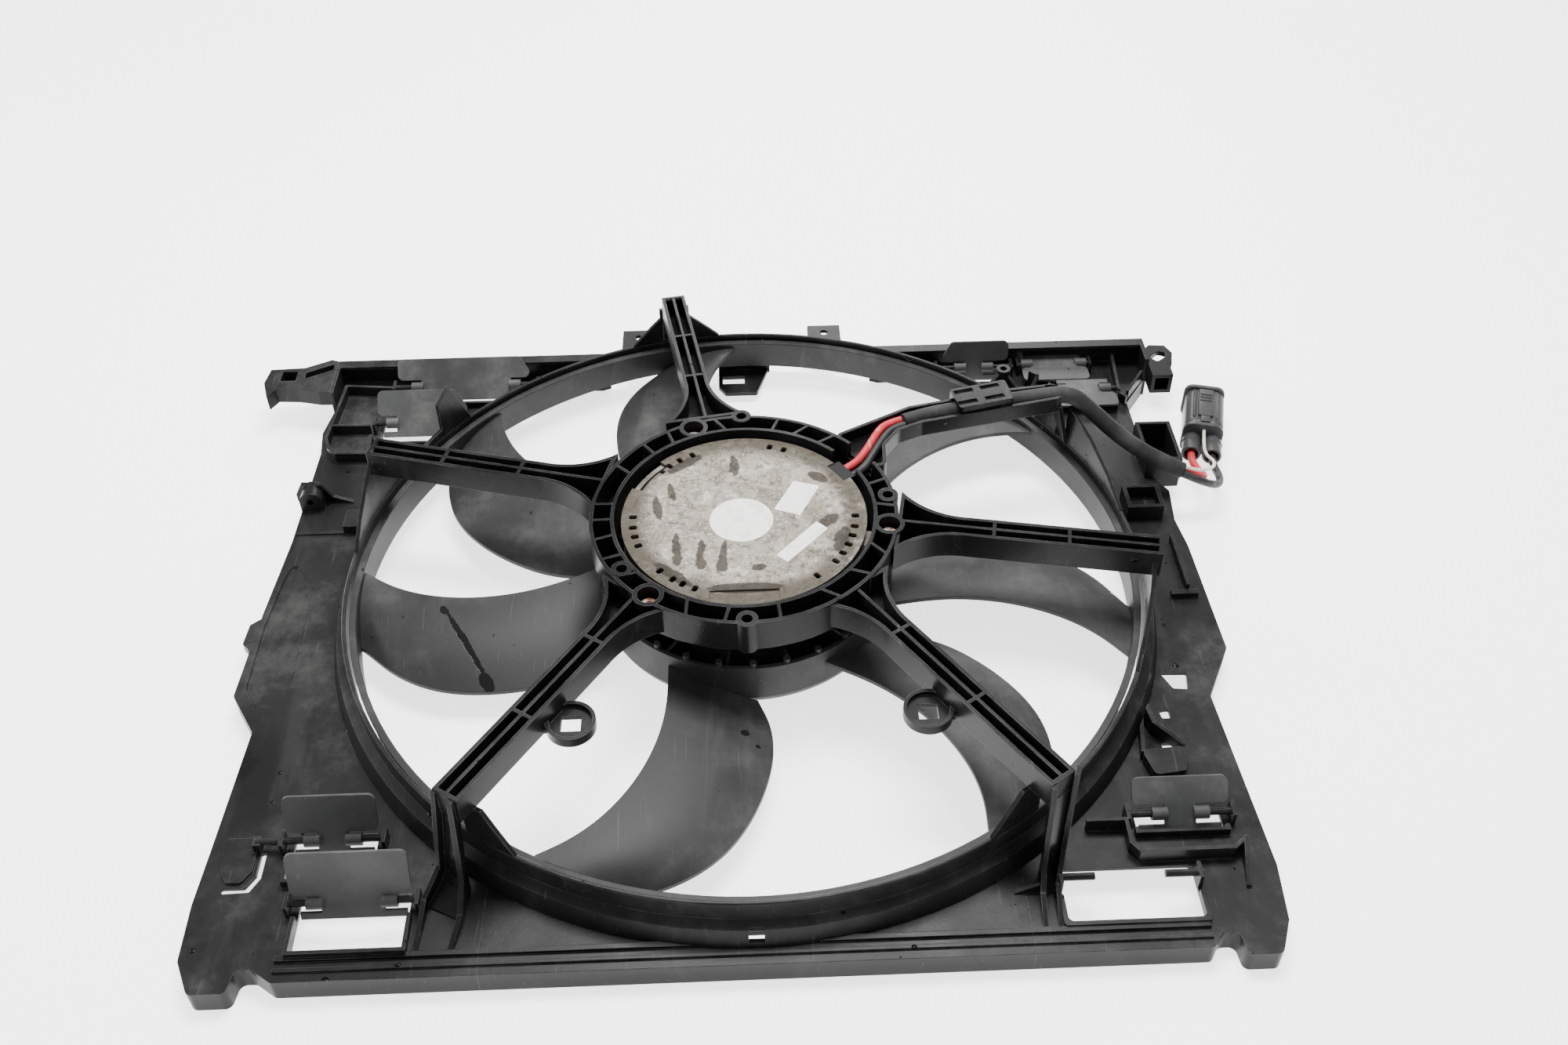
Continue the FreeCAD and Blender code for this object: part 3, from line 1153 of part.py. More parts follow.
def fan_hub():
    """Cup that covers the rotor, with stiffening ribs inside and a row of pegs on its rim."""
    inner = HUB_RADIUS - HUB_WALL
    floor_top = HUB_UNDER + HUB_FLOOR
    profile = [
        (0.0, HUB_UNDER), (HUB_RADIUS - HUB_EDGE, HUB_UNDER), (HUB_RADIUS - 1.8, HUB_UNDER + 1.8),
        (HUB_RADIUS, HUB_UNDER + HUB_EDGE), (HUB_RADIUS, HUB_TOP), (inner, HUB_TOP),
        (inner, HUB_UNDER + HUB_EDGE), (inner - 3, floor_top), (0.0, floor_top),
    ]
    pieces = [turned_profile(profile)]
    for index in range(MAGNET_COUNT):
        rib = block(BELL_OUTER + 0.6, inner + 0.5, -0.9, 0.9, floor_top - 0.5, HUB_TOP - 6)
        pieces.append(placed(rib, 0, 0, index * 360.0 / MAGNET_COUNT + 4))
    for index in range(PEG_COUNT):
        x, y = around(HUB_RADIUS - PEG_RADIUS - 0.5, 360.0 * index / PEG_COUNT + 1.7)
        pieces.append(disc(x, y, HUB_TOP - 3, HUB_TOP + PEG_HEIGHT, PEG_RADIUS))
    hub = joined(pieces)
    for index in range(HUB_SCREW_COUNT):
        x, y = around(HUB_SCREW_CIRCLE, 45 + 360.0 * index / HUB_SCREW_COUNT)
        hub = hub.cut(disc(x, y, 0, 50, 1.9))
    return hub.cut(disc(0, 0, 0, 50, SHAFT_RADIUS))


def fan_ring():
    outer = FAN_RING_INNER + FAN_RING_WALL
    profile = [
        (FAN_RING_INNER, FAN_RING_UNDER), (outer, FAN_RING_UNDER),
        (outer, FAN_RING_TOP - FAN_FLANGE_THICK), (FAN_FLANGE_REACH, FAN_RING_TOP - FAN_FLANGE_THICK),
        (FAN_FLANGE_REACH, FAN_RING_TOP), (FAN_RING_INNER + 0.8, FAN_RING_TOP),
        (FAN_RING_INNER, FAN_RING_TOP - 0.8),
    ]
    return turned_profile(profile)


def fan_blade(root_angle):
    """A swept, cambered blade between the hub and the fan's ring."""
    grid = []
    steps = 8
    for share, high_angle, low_angle in BLADE_EDGES:
        radius = BLADE_ROOT + (BLADE_TIP - BLADE_ROOT) * share
        high_z = BLADE_HIGH_HUB + (BLADE_HIGH_TIP - BLADE_HIGH_HUB) * share
        low_z = BLADE_LOW_HUB + (BLADE_LOW_TIP - BLADE_LOW_HUB) * share
        row = []
        for step in range(steps + 1):
            along = step / steps
            angle = root_angle + high_angle + (low_angle - high_angle) * along
            camber = BLADE_CAMBER * math.sin(math.pi * along)
            x, y = around(radius, angle)
            row.append(point(x, y, high_z + (low_z - high_z) * along + camber - BLADE_THICK / 2))
        grid.append(row)
    surface = Part.BSplineSurface()
    surface.interpolate(grid)
    blade = surface.toShape().extrude(point(0, 0, BLADE_THICK))
    annulus = pipe(0, 0, 0, 60, FAN_RING_INNER, HUB_RADIUS)
    return blade.common(annulus)


# Flaps

def flap_plate(flap):
    """One air flap: plate, centre tab, lip and two clip barrels, at its rest angle."""
    name, centre, hinge, width, length, tab, angle, is_open, cut, overlap = flap
    z0 = FLAP_AXIS_Z - FLAP_THICK / 2
    z1 = FLAP_AXIS_Z + FLAP_THICK / 2
    left = centre - width / 2
    right = centre + width / 2
    far = hinge - length
    near = hinge - FLAP_PLATE_START
    corners = [(left, near), (left - min(cut, 0), far), (right - max(cut, 0), far), (right, near)]
    plate = slab(corners, z0, z1, 4.0)
    middle = block(centre - tab / 2, centre + tab / 2, near - 1, hinge + FLAP_LIP_START + 1, z0, z1)
    lip = block(left + FLAP_LIP_MARGIN, right - FLAP_LIP_MARGIN, hinge + FLAP_LIP_START, hinge + FLAP_LIP_END, z0, z1)
    pieces = [plate, middle, lip]
    for side in (-1, 1):
        start = centre + side * (tab / 2 - 1.5)
        pieces.append(Part.makeCylinder(BARREL_RADIUS, BARREL_LENGTH + 1.5, point(start, hinge, FLAP_AXIS_Z),
                                        point(side, 0, 0)))
    body = joined(pieces)
    for side in (-1, 1):
        start = centre + side * tab / 2
        body = body.cut(Part.makeCylinder(PIN_RADIUS + PIN_CLEARANCE, BARREL_LENGTH + 9,
                                          point(start, hinge, FLAP_AXIS_Z), point(side, 0, 0)))
    if is_open:
        body.rotate(point(0, hinge, FLAP_AXIS_Z), point(1, 0, 0), -angle)
    return body


# Harness

def cable_clip():
    """Bridge with two windows that holds the sheath down in the channel."""
    corners = [(135.6, 107.7), (172.9, 116.9), (176.4, 96.9), (140.6, 88.0)]
    cover = slab(corners, STRUT_TOP - 4, CLIP_TOP, 2.0)
    channel = slab(CHANNEL_PLAN, 0, STRUT_TOP + 0.01, 5.0)
    whole = cover.cut(channel)
    for start, finish in zip(HELD_SHEATH[1:], HELD_SHEATH[2:]):
        half = SHEATH_RADIUS + CLIP_GAP
        whole = whole.cut(wall(start[:2], finish[:2], 2 * half, STRUT_TOP - 6, CLIP_TOP - CLIP_WALL))
        whole = whole.cut(disc(start[0], start[1], STRUT_TOP - 6, CLIP_TOP - CLIP_WALL, half))
    way = plan_angle((37.3, 9.2))
    for x, y in ((146.0, 94.5), (164.0, 99.0), (144.5, 105.8), (162.0, 110.2)):
        whole = whole.cut(placed(block(-6.5, 6.5, -1.8, 1.8, CLIP_TOP - 1.4, CLIP_TOP + 1), x, y, way))
    return whole.removeSplitter()


def connector_body():
    """Plug housing with a latch cover and two round lead ports, lying on its side."""
    half = CONNECTOR_WIDTH / 2
    shell = slab([(PORT_LENGTH, -half), (PORT_LENGTH + CONNECTOR_LENGTH, -half),
                  (PORT_LENGTH + CONNECTOR_LENGTH, half), (PORT_LENGTH, half)], 0, CONNECTOR_HEIGHT, 3)
    mouth = block(PORT_LENGTH + 12, PORT_LENGTH + CONNECTOR_LENGTH + 1, -half + 2.4, half - 2.4, 2.4,
                  CONNECTOR_HEIGHT - 2.4)
    shell = shell.cut(mouth)
    ports = []
    for y in (-half + PORT_RADIUS + 0.6, half - PORT_RADIUS - 0.6):
        port = Part.makeCylinder(PORT_RADIUS, PORT_LENGTH + 1, point(0, y, CONNECTOR_HEIGHT / 2), point(1, 0, 0))
        ports.append(port)
    whole = joined([shell] + ports)
    for y in (-half + PORT_RADIUS + 0.6, half - PORT_RADIUS - 0.6):
        whole = whole.cut(Part.makeCylinder(PORT_RADIUS - PORT_WALL, PORT_BORE_DEPTH + 1,
                                            point(-1, y, CONNECTOR_HEIGHT / 2), point(1, 0, 0)))
    return placed(whole, CONNECTOR_PLACE[0], CONNECTOR_PLACE[1], CONNECTOR_ANGLE)


def build_nodes():
    """Every piece by the name of its file."""
    left = left_panel()
    right = right_panel()
    stations = (34, 96)
    nodes = {
        "shroud_ring": shroud_ring(),
        "shroud_left_panel": left,
        "shroud_right_panel": right,
        "shroud_bottom_rail": bottom_rail(),
        "left_arm": hook_arm(),
        "right_ear": right_ear(),
        "upper_dock": upper_dock(),
        "lower_dock": lower_dock(),
        "motor_carrier_ring": carrier_ring(),
        "strut_top": strut_top(),
        "strut_upper_left": strut_upper_left(),
        "strut_lower_left": lower_strut(-1, LOWER_LEFT_START, LOWER_LEFT_FINISH, *LOWER_LEFT_RIBS, stations, left),
        "strut_lower_right": lower_strut(1, LOWER_RIGHT_START, LOWER_RIGHT_FINISH, *LOWER_RIGHT_RIBS, stations,
                                         right),
        "strut_right": strut_right(),
        "cable_strut": cable_strut(),
        "cable_clip": cable_clip(),
        "motor_housing": motor_housing(),
        "motor_cover": motor_cover(),
        "lead_grommet": lead_grommet(),
        "control_board": control_board(),
        "board_components": board_parts(),
        "bearing_lower": bearing(20.0),
        "bearing_upper": bearing(42.5),
        "stator_core": stator_core(),
        "stator_coils": stator_coils(),
        "motor_screws": motor_screws(),
        "rotor_bell": rotor_bell(),
        "rotor_magnets": magnets(),
        "motor_shaft": motor_shaft(),
        "hub_screws": hub_screws(),
        "fan_hub": fan_hub(),
        "fan_ring": fan_ring(),
        "label_round": disc(*ROUND_LABEL_PLACE, COVER_TOP, COVER_TOP + LABEL_THICK, ROUND_LABEL_RADIUS),
        "label_upper": label([(31, 31), (46.5, 25.5), (33.5, -0.5), (18, 5.5)]),
        "label_lower": label([(43, -6.5), (49.5, -13), (24.5, -40.5), (18, -34.5)]),
        "connector": connector_body(),
        "sheath_held": tube("sheath_held", HELD_SHEATH, SHEATH_RADIUS),
        "sheath_free": tube("sheath_free", FREE_SHEATH, SHEATH_RADIUS),
        "lead_red_motor": tube("lead_red_motor", RED_LEAD, POWER_LEAD_RADIUS),
        "lead_black_motor": tube("lead_black_motor", BLACK_LEAD, POWER_LEAD_RADIUS),
        "lead_red_tail": tube("lead_red_tail", RED_TAIL, POWER_LEAD_RADIUS),
        "lead_black_tail": tube("lead_black_tail", BLACK_TAIL, POWER_LEAD_RADIUS),
        "lead_signal_tail": tube("lead_signal_tail", SIGNAL_TAIL, SIGNAL_LEAD_RADIUS),
    }
    for index, angle in enumerate(BLADE_ANGLES):
        nodes["fan_blade_%d" % (index + 1)] = fan_blade(angle)
    for flap in FLAPS:
        nodes[flap[0]] = flap_plate(flap)
    return nodes


def main():
    os.makedirs("parts", exist_ok=True)
    for name, shape in build_nodes().items():
        shape.translate(point(-CENTRE_X, -CENTRE_Y))
        shape.exportStep(os.path.join("parts", name + ".step"))
        print(name, shape.ShapeType, len(shape.Solids), "valid", shape.isValid(), round(shape.Volume, 1))


main()
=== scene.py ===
"""A car's condenser fan, laid core side down on a pale floor: camera, leads, plug and finishes."""

import math

import bpy
from mathutils import Matrix, Vector


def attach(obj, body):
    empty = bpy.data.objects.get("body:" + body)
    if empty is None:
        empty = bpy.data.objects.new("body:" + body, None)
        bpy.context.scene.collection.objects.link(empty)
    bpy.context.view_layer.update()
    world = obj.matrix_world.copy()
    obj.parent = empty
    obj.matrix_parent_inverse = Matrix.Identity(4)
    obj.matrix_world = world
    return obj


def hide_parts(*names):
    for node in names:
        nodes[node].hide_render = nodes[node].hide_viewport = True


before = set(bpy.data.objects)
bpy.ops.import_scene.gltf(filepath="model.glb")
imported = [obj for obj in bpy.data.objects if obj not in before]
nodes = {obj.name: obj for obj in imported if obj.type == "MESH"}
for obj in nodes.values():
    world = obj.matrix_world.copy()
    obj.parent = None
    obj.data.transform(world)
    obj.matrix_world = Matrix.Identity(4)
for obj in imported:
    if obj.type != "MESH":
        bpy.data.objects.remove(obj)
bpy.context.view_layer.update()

# The drawing's own origin lies on the fan's axis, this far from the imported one, in millimetres
AXIS_X = 12.0
AXIS_Y = 2.5


def spot(x, y, z=0.0):
    """A point of the drawing, in millimetres from the fan's axis, as the scene's own metres."""
    return Vector(((x + AXIS_X) / 1000, (y + AXIS_Y) / 1000, z / 1000))


# Camera: its place in drawing millimetres, pitch down, yaw to the right and roll

CAMERA_PLACE = (1.79, -671.32, 687.41)
CAMERA_PITCH = math.radians(42.44)
CAMERA_YAW = math.radians(1.88)
CAMERA_ROLL = math.radians(-0.53)
CAMERA_LENS = 34.753
SENSOR_WIDTH = 36.0
NEAREST_SEEN = 0.02


def add_camera():
    level = math.cos(CAMERA_PITCH)
    ahead = Vector((math.sin(CAMERA_YAW) * level, math.cos(CAMERA_YAW) * level, -math.sin(CAMERA_PITCH)))
    level_right = Vector((math.cos(CAMERA_YAW), -math.sin(CAMERA_YAW), 0.0))
    level_up = level_right.cross(ahead)
    right = level_right * math.cos(CAMERA_ROLL) + level_up * math.sin(CAMERA_ROLL)
    up = level_up * math.cos(CAMERA_ROLL) - level_right * math.sin(CAMERA_ROLL)
    data = bpy.data.cameras.new("camera")
    data.lens = CAMERA_LENS
    data.sensor_width = SENSOR_WIDTH
    data.clip_start = NEAREST_SEEN
    camera = bpy.data.objects.new("camera", data)
    bpy.context.scene.collection.objects.link(camera)
    turn = Matrix((right, up, -ahead)).transposed().to_4x4()
    camera.matrix_world = Matrix.Translation(spot(*CAMERA_PLACE)) @ turn
    bpy.context.scene.camera = camera


add_camera()

# Shader sums


class Wire:
    """A shader socket that takes part in ordinary sums."""

    def __init__(self, recipe, socket):
        self.recipe = recipe
        self.socket = socket

    def sum(self, operation, first, second):
        return self.recipe.node("ShaderNodeMath", {"operation": operation}, [first, second])

    def __add__(self, other):
        return self.sum("ADD", self, other)

    __radd__ = __add__

    def __sub__(self, other):
        return self.sum("SUBTRACT", self, other)

    def __rsub__(self, other):
        return self.sum("SUBTRACT", other, self)

    def __mul__(self, other):
        return self.sum("MULTIPLY", self, other)

    __rmul__ = __mul__

    def __truediv__(self, other):
        return self.sum("DIVIDE", self, other)

    def __pow__(self, other):
        return self.sum("POWER", self, other)

    def at_most(self, other):
        return self.sum("MINIMUM", self, other)

    def at_least(self, other):
        return self.sum("MAXIMUM", self, other)

    def ramp(self, start, finish):
        """0 below start, 1 above finish and smooth between; start may be the larger."""
        low, high = min(start, finish), max(start, finish)
        eased = self.recipe.node("ShaderNodeMapRange", {"interpolation_type": "SMOOTHSTEP"},
                                 {"Value": self, "From Min": low, "From Max": high})
        return eased if start < finish else 1 - eased


class Recipe:
    """One material under construction."""

    def __init__(self, name):
        self.material = bpy.data.materials.new(name)
        self.material.use_nodes = True
        self.tree = self.material.node_tree
        self.shader = self.tree.nodes["Principled BSDF"]
        self.place = self.node("ShaderNodeTexCoord", {}, {}, "Object")

    def node(self, kind, settings, inputs, output=0):
        """Adds a node, sets it and then its sockets, and gives one of its outputs."""
        made = self.tree.nodes.new(kind)
        for name, value in settings.items():
            setattr(made, name, value)
        pairs = inputs.items() if isinstance(inputs, dict) else enumerate(inputs)
        for name, value in pairs:
            if isinstance(value, Wire):
                self.tree.links.new(value.socket, made.inputs[name])
            else:
                made.inputs[name].default_value = value
        return Wire(self, made.outputs[output])

    def noise(self, scale, detail=3.0, roughness=0.5, place=None, distortion=0.0):
        inputs = {"Vector": place or self.place, "Scale": scale, "Detail": detail, "Roughness": roughness,
                  "Distortion": distortion}
        return self.node("ShaderNodeTexNoise", {}, inputs, "Fac")

    def cells(self, scale, output="Distance"):
        return self.node("ShaderNodeTexVoronoi", {}, {"Vector": self.place, "Scale": scale}, output)

    def blend(self, share, plain, marked):
        """A colour that goes from plain to marked with the share."""
        mixer = self.tree.nodes.new("ShaderNodeMix")
        mixer.data_type = "RGBA"
        for socket, value in ((mixer.inputs[0], share), (mixer.inputs[6], plain), (mixer.inputs[7], marked)):
            if isinstance(value, Wire):
                self.tree.links.new(value.socket, socket)
            else:
                socket.default_value = value
        return Wire(self, mixer.outputs[2])

    def part_of(self, vector, axis):
        """The X, Y or Z of a vector."""
        return self.node("ShaderNodeSeparateXYZ", {}, [vector], axis)

    def stretched(self, scale, turn=(0.0, 0.0, 0.0)):
        """The place, squeezed or turned for a pattern with a direction."""
        return self.node("ShaderNodeMapping", {}, {"Vector": self.place, "Scale": scale, "Rotation": turn})

    def set(self, **values):
        """Values or masks for the shader's own sockets, named with _ for a space."""
        for name, value in values.items():
            socket = self.shader.inputs[name.replace("_", " ")]
            if isinstance(value, Wire):
                self.tree.links.new(value.socket, socket)
            else:
                socket.default_value = value

    def relief(self, height, round_edge=None):
        """Bumps by a height in metres, over the softened edges where they are given."""
        inputs = {"Height": height, "Distance": 1.0, "Strength": 1.0}
        if round_edge is not None:
            inputs["Normal"] = round_edge
        self.set(Normal=self.node("ShaderNodeBump", {}, inputs, "Normal"))

    def rounded(self, radius):
        """The surface direction with every edge softened by this radius, in metres."""
        return self.node("ShaderNodeBevel", {"samples": 6}, {"Radius": radius}, "Normal")

    def edges(self, rounded):
        """1 along edges, 0 on flats: how far the softened direction leaves the real one."""
        flat = self.node("ShaderNodeNewGeometry", {}, {}, "Normal")
        agree = self.node("ShaderNodeVectorMath", {"operation": "DOT_PRODUCT"}, [rounded, flat], "Value")
        return (1 - agree).ramp(0.02, 0.3)

    def facing_up(self):
        """1 on level faces that look up, 0 on walls."""
        flat = self.node("ShaderNodeNewGeometry", {}, {}, "Normal")
        return self.part_of(flat, "Z").ramp(0.1, 0.9)

    def oval(self, x, y, wide, tall, turn=0.0, soft=0.5, ragged=0.0):
        """1 inside an oval of the plan, placed in drawing millimetres, its outline ragged by so many."""
        centre = spot(x, y)
        angle = math.radians(turn)
        dx = self.part_of(self.place, "X") - centre.x
        dy = self.part_of(self.place, "Y") - centre.y
        if ragged:
            dx = dx + (self.noise(130.0, 4.0, 0.7) - 0.5) * (ragged / 500)
        along = (dx * math.cos(angle) + dy * math.sin(angle)) * (1000 / wide)
        across = (dy * math.cos(angle) - dx * math.sin(angle)) * (1000 / tall)
        return (along * along + across * across).ramp(1.0, soft)


def grey(level, warm=0.0):
    """A grey, or with warm a grey that leans to red by that share."""
    return (level * (1 + warm), level, level * (1 - warm), 1.0)


def highest(masks):
    """The highest of several masks at each place."""
    top = masks[0]
    for mask in masks[1:]:
        top = top.at_least(mask)
    return top


def droplets(recipe, size, share):
    """Water beads in this share of cells of this size in millimetres: each one's dome and mask."""
    scale = 1000.0 / size
    distance = recipe.cells(scale)
    chance = recipe.part_of(recipe.cells(scale, "Color"), "X")
    spread = recipe.part_of(recipe.cells(scale, "Color"), "Y")
    reach = spread * spread * 0.3 + 0.06
    inside = distance / reach
    present = (1 - chance).ramp(1 - share, 1 - share + 0.001)
    mask = inside.ramp(1.0, 0.85) * present
    dome = (1 - (inside * inside).at_most(1.0)) ** 0.5
    return dome * mask, mask


# Lighter grey for edges: partly real scuffing, partly a painted highlight on the rib tops.
SCUFFED_AND_HIGHLIT = grey(0.24)
POWDERED = grey(0.17, 0.04)
SCRATCHED = grey(0.16)
MOULDED_EDGE = 0.0006
WATER_ROUGHNESS = 0.06
# Water beads of two sizes: the cell in millimetres and the height in metres
LARGE_BEAD = 7.0
LARGE_BEAD_HEIGHT = 0.0009
SMALL_BEAD = 3.1
SMALL_BEAD_HEIGHT = 0.0004


def moulded(name, level, roughness, edge_light=0.1, dust=0.25, wet=0.03, sheen_streaks=0.0, puddles=0.0, shine=0.17,
            marks=()):
    """Black glass-filled plastic with cloudy wear, edges lightened by scuffs and a painted highlight, painted
    sheen streaks, dust, wet films and a few beads.

    A mark is a dark wet spot: x, y, half length and half width in drawing millimetres, and a turn.
    """
    recipe = Recipe(name)
    clouds = recipe.noise(9.0, 5.0, 0.6)
    grime = recipe.noise(34.0, 6.0, 0.7)
    # Stretched noise for painted sheen: lighter streaks in the colour stand in for gloss reflections.
    sheen_streak_noise = recipe.noise(3.0, 4.0, 0.65, recipe.stretched((14.0, 3.0, 8.0), (0.0, 0.0, 0.5)), 0.6)
    scratches = recipe.noise(5.0, 2.0, 0.5, recipe.stretched((90.0, 5.0, 30.0), (0.0, 0.0, -0.7)))
    rounded = recipe.rounded(MOULDED_EDGE)
    edge = recipe.edges(rounded) * grime.ramp(0.38, 0.6)
    powder = recipe.facing_up() * grime.ramp(0.42, 0.72) * clouds.ramp(0.4, 0.62) * dust
    base = recipe.blend(clouds.ramp(0.35, 0.7), grey(level), grey(level * 2.0))
    # Painted sheen: lighter streaks in the base colour stand in for gloss reflections.
    base = recipe.blend(sheen_streak_noise.ramp(0.5, 0.72) * sheen_streaks, base, grey(level * 3.4, 0.02))
    base = recipe.blend(powder, base, POWDERED)
    base = recipe.blend(scratches.ramp(0.68, 0.74) * 0.1, base, SCRATCHED)
    # Edges lightened by scuffs and a painted highlight, where the grime noise allows.
    base = recipe.blend(edge * edge_light, base, SCUFFED_AND_HIGHLIT)

    bead, bead_mask = droplets(recipe, LARGE_BEAD, wet)
    fine_bead, fine_mask = droplets(recipe, SMALL_BEAD, wet)
    film = recipe.noise(22.0, 4.0, 0.6).ramp(0.55, 0.72) * puddles * recipe.facing_up()
    spots = [recipe.oval(x, y, long, wide, turn, 0.75, 2.0) for x, y, long, wide, turn in marks]
    water = highest([bead_mask, fine_mask, film, *spots])
    rough = roughness + clouds * 0.22 + powder * 0.3 + edge * 0.15 - 0.12
    recipe.set(Base_Color=recipe.blend(water * 0.75, base, grey(level * 0.15)),
               Roughness=rough * (1 - water) + WATER_ROUGHNESS * water, Specular_IOR_Level=shine)
    texture = recipe.noise(900.0, 2.0) * 0.00004 + grime * 0.00006
    recipe.relief(texture * (1 - water) + bead * LARGE_BEAD_HEIGHT + fine_bead * SMALL_BEAD_HEIGHT, rounded)
    return recipe.material


def finish_node(material, *names):
    for name in names:
        nodes[name].data.materials.clear()
        nodes[name].data.materials.append(material)


# Leads and sheath: the free cords, each with the drawing's own route

SHEATH_Z = 78.8
LEAD_EXIT_Z = 74.6
SHEATH_RADIUS = 5.5
LEAD_RADIUS = 2.6
SIGNAL_RADIUS = 1.1

FREE_SHEATH = ((203.0, 109.3, SHEATH_Z), (216.5, 111.62, SHEATH_Z), (230.0, 106.0, 68.5), (246.0, 98.0, 55.5),
               (263.0, 91.0, 45.0), (280.0, 85.0, 38.0), (291.0, 81.5, 34.0))
RED_LEAD = ((62.5, 45.2, LEAD_EXIT_Z), (71.0, 50.7, LEAD_EXIT_Z), (79.6, 62.4, 78.0), (86.0, 74.5, 79.8),
            (92.3, 84.1, SHEATH_Z), (102.7, 88.0, SHEATH_Z))
BLACK_LEAD = ((66.7, 38.8, LEAD_EXIT_Z), (74.7, 44.0, LEAD_EXIT_Z), (82.3, 56.4, 78.0), (89.2, 68.2, 79.8),
              (95.9, 79.1, SHEATH_Z), (104.5, 82.7, SHEATH_Z))
RED_TAIL = ((292.2, 83.9, 33.9), (301.0, 81.2, 30.6), (309.5, 87.0, 23.0), (310.5, 101.0, 15.8),
            (308.4, 116.1, 13.0), (312.0, 129.6, 13.0))
BLACK_TAIL = ((290.6, 78.9, 33.9), (302.5, 75.2, 29.6), (317.0, 80.0, 21.0), (323.5, 94.5, 15.0),
              (322.2, 113.4, 13.0), (325.6, 125.9, 13.0))
SIGNAL_TAIL = ((292.6, 81.0, 37.3), (302.0, 78.5, 35.8), (312.0, 83.5, 34.0), (317.0, 95.0, 29.5),
               (315.0, 110.0, 23.5), (318.4, 125.9, 21.6), (321.7, 138.3, 21.6))


def lay_cord(name, route, radius, node, material):
    """One smooth cord along a route, its radius and length in millimetres, in place of its solid."""
    curve = bpy.data.curves.new(name, "CURVE")
    curve.dimensions = "3D"
    curve.bevel_depth = radius / 1000
    curve.bevel_resolution = 8
    curve.resolution_u = 24
    curve.use_fill_caps = True
    spline = curve.splines.new("NURBS")
    spline.points.add(len(route) - 1)
    for knot, place in zip(spline.points, route):
        knot.co = (*spot(*place), 1.0)
    spline.order_u = 3
    spline.use_endpoint_u = True
    cord = bpy.data.objects.new(name, curve)
    bpy.context.scene.collection.objects.link(cord)
    curve.materials.append(material)
    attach(cord, "shroud")
    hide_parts(node)
    tuple(spot(*route[0]))


def insulation(name, colour, dirt):
    """A lead's skin, dirty in patches and scuffed grey."""
    recipe = Recipe(name)
    patches = recipe.noise(70.0, 4.0, 0.6)
    scuffs = recipe.noise(240.0, 3.0, 0.6, recipe.stretched((1.0, 0.35, 1.0)))
    base = recipe.blend(patches.ramp(0.45, 0.7) * 0.6, colour, dirt)
    base = recipe.blend(scuffs.ramp(0.6, 0.75) * 0.4, base, grey(0.5, 0.03))
    recipe.set(Base_Color=base, Roughness=0.42 + patches * 0.2, Specular_IOR_Level=0.3)
    recipe.relief(scuffs * 0.00003)
    return recipe.material


def sheath_rubber():
    """The harness's black sheath, faintly woven."""
    recipe = Recipe("sheath_rubber")
    patches = recipe.noise(45.0, 4.0, 0.6)
    weave = recipe.noise(600.0, 2.0)
    base = recipe.blend(patches.ramp(0.4, 0.7), grey(0.012), grey(0.034))
    recipe.set(Base_Color=base, Roughness=0.5 + patches * 0.25, Specular_IOR_Level=0.2)
    recipe.relief(weave * 0.00008)
    return recipe.material


red = insulation("red_insulation", (0.50, 0.022, 0.03, 1.0), (0.30, 0.03, 0.03, 1.0))
black = insulation("black_insulation", grey(0.012), grey(0.035))
white = insulation("white_insulation", (0.62, 0.60, 0.52, 1.0), (0.36, 0.34, 0.28, 1.0))
rubber = sheath_rubber()

# The plug, in millimetres along its own length from its lead ports, sideways from its middle and up

PLUG_PLACE = (317.0, 121.0)
PLUG_TURN = math.radians(75.0)
PLUG_AXIS = Vector((math.cos(PLUG_TURN), math.sin(PLUG_TURN), 0.0))
PLUG_HALF = 13.5
PLUG_HIGH = 26.0
PLUG_FOOT = 0.1
SHELL_START = 18.0
SHELL_END = 63.2
SHELL_WALL = 2.4
SOCKET_DEPTH = 33.0
RIM_WALL = 3.4
RIM_DEPTH = 3.0
LATCH_HALF = 5.2
GUIDE_SIDE = 7.6
GUIDE_HALF = 0.8
GRIP_HALF = 4.2
GRIP_COUNT = 3
GRIP_PITCH = 3.4
GRIP_THICK = 1.3
PORT_SIDE = 7.0
PORT_HEIGHT = 13.0
PORT_RADIUS = 6.4
PORT_WALL = 1.4
PORT_DEPTH = 8.0
PORT_LAP = 1.0
# Beads round each lead port: place along it, radius and thickness
PORT_BEADS = ((1.2, 6.0, 0.7), (12.0, 6.3, 0.6))


def plug_spot(along, side, height):
    """A point of the plug, as the scene's own metres."""
    x = PLUG_PLACE[0] + along * math.cos(PLUG_TURN) - side * math.sin(PLUG_TURN)
    y = PLUG_PLACE[1] + along * math.sin(PLUG_TURN) + side * math.cos(PLUG_TURN)
    return spot(x, y, height)


def settle(piece):
    """Bakes a piece's place into its mesh, so that its origin is the frame's own."""
    bpy.ops.object.select_all(action="DESELECT")
    piece.select_set(True)
    bpy.context.view_layer.objects.active = piece
    bpy.ops.object.transform_apply(location=True, rotation=True, scale=True)


def plug_block(name, low, high):
    """A block between two corners given along, across and above the plug."""
    bpy.ops.object.select_all(action="DESELECT")
    middle = [(a + b) / 2 for a, b in zip(low, high)]
    bpy.ops.mesh.primitive_cube_add(size=1.0, location=plug_spot(*middle), rotation=(0.0, 0.0, PLUG_TURN))
    piece = bpy.context.active_object
    piece.name = name
    piece.scale = [(b - a) / 1000 for a, b in zip(low, high)]
    settle(piece)
    return piece


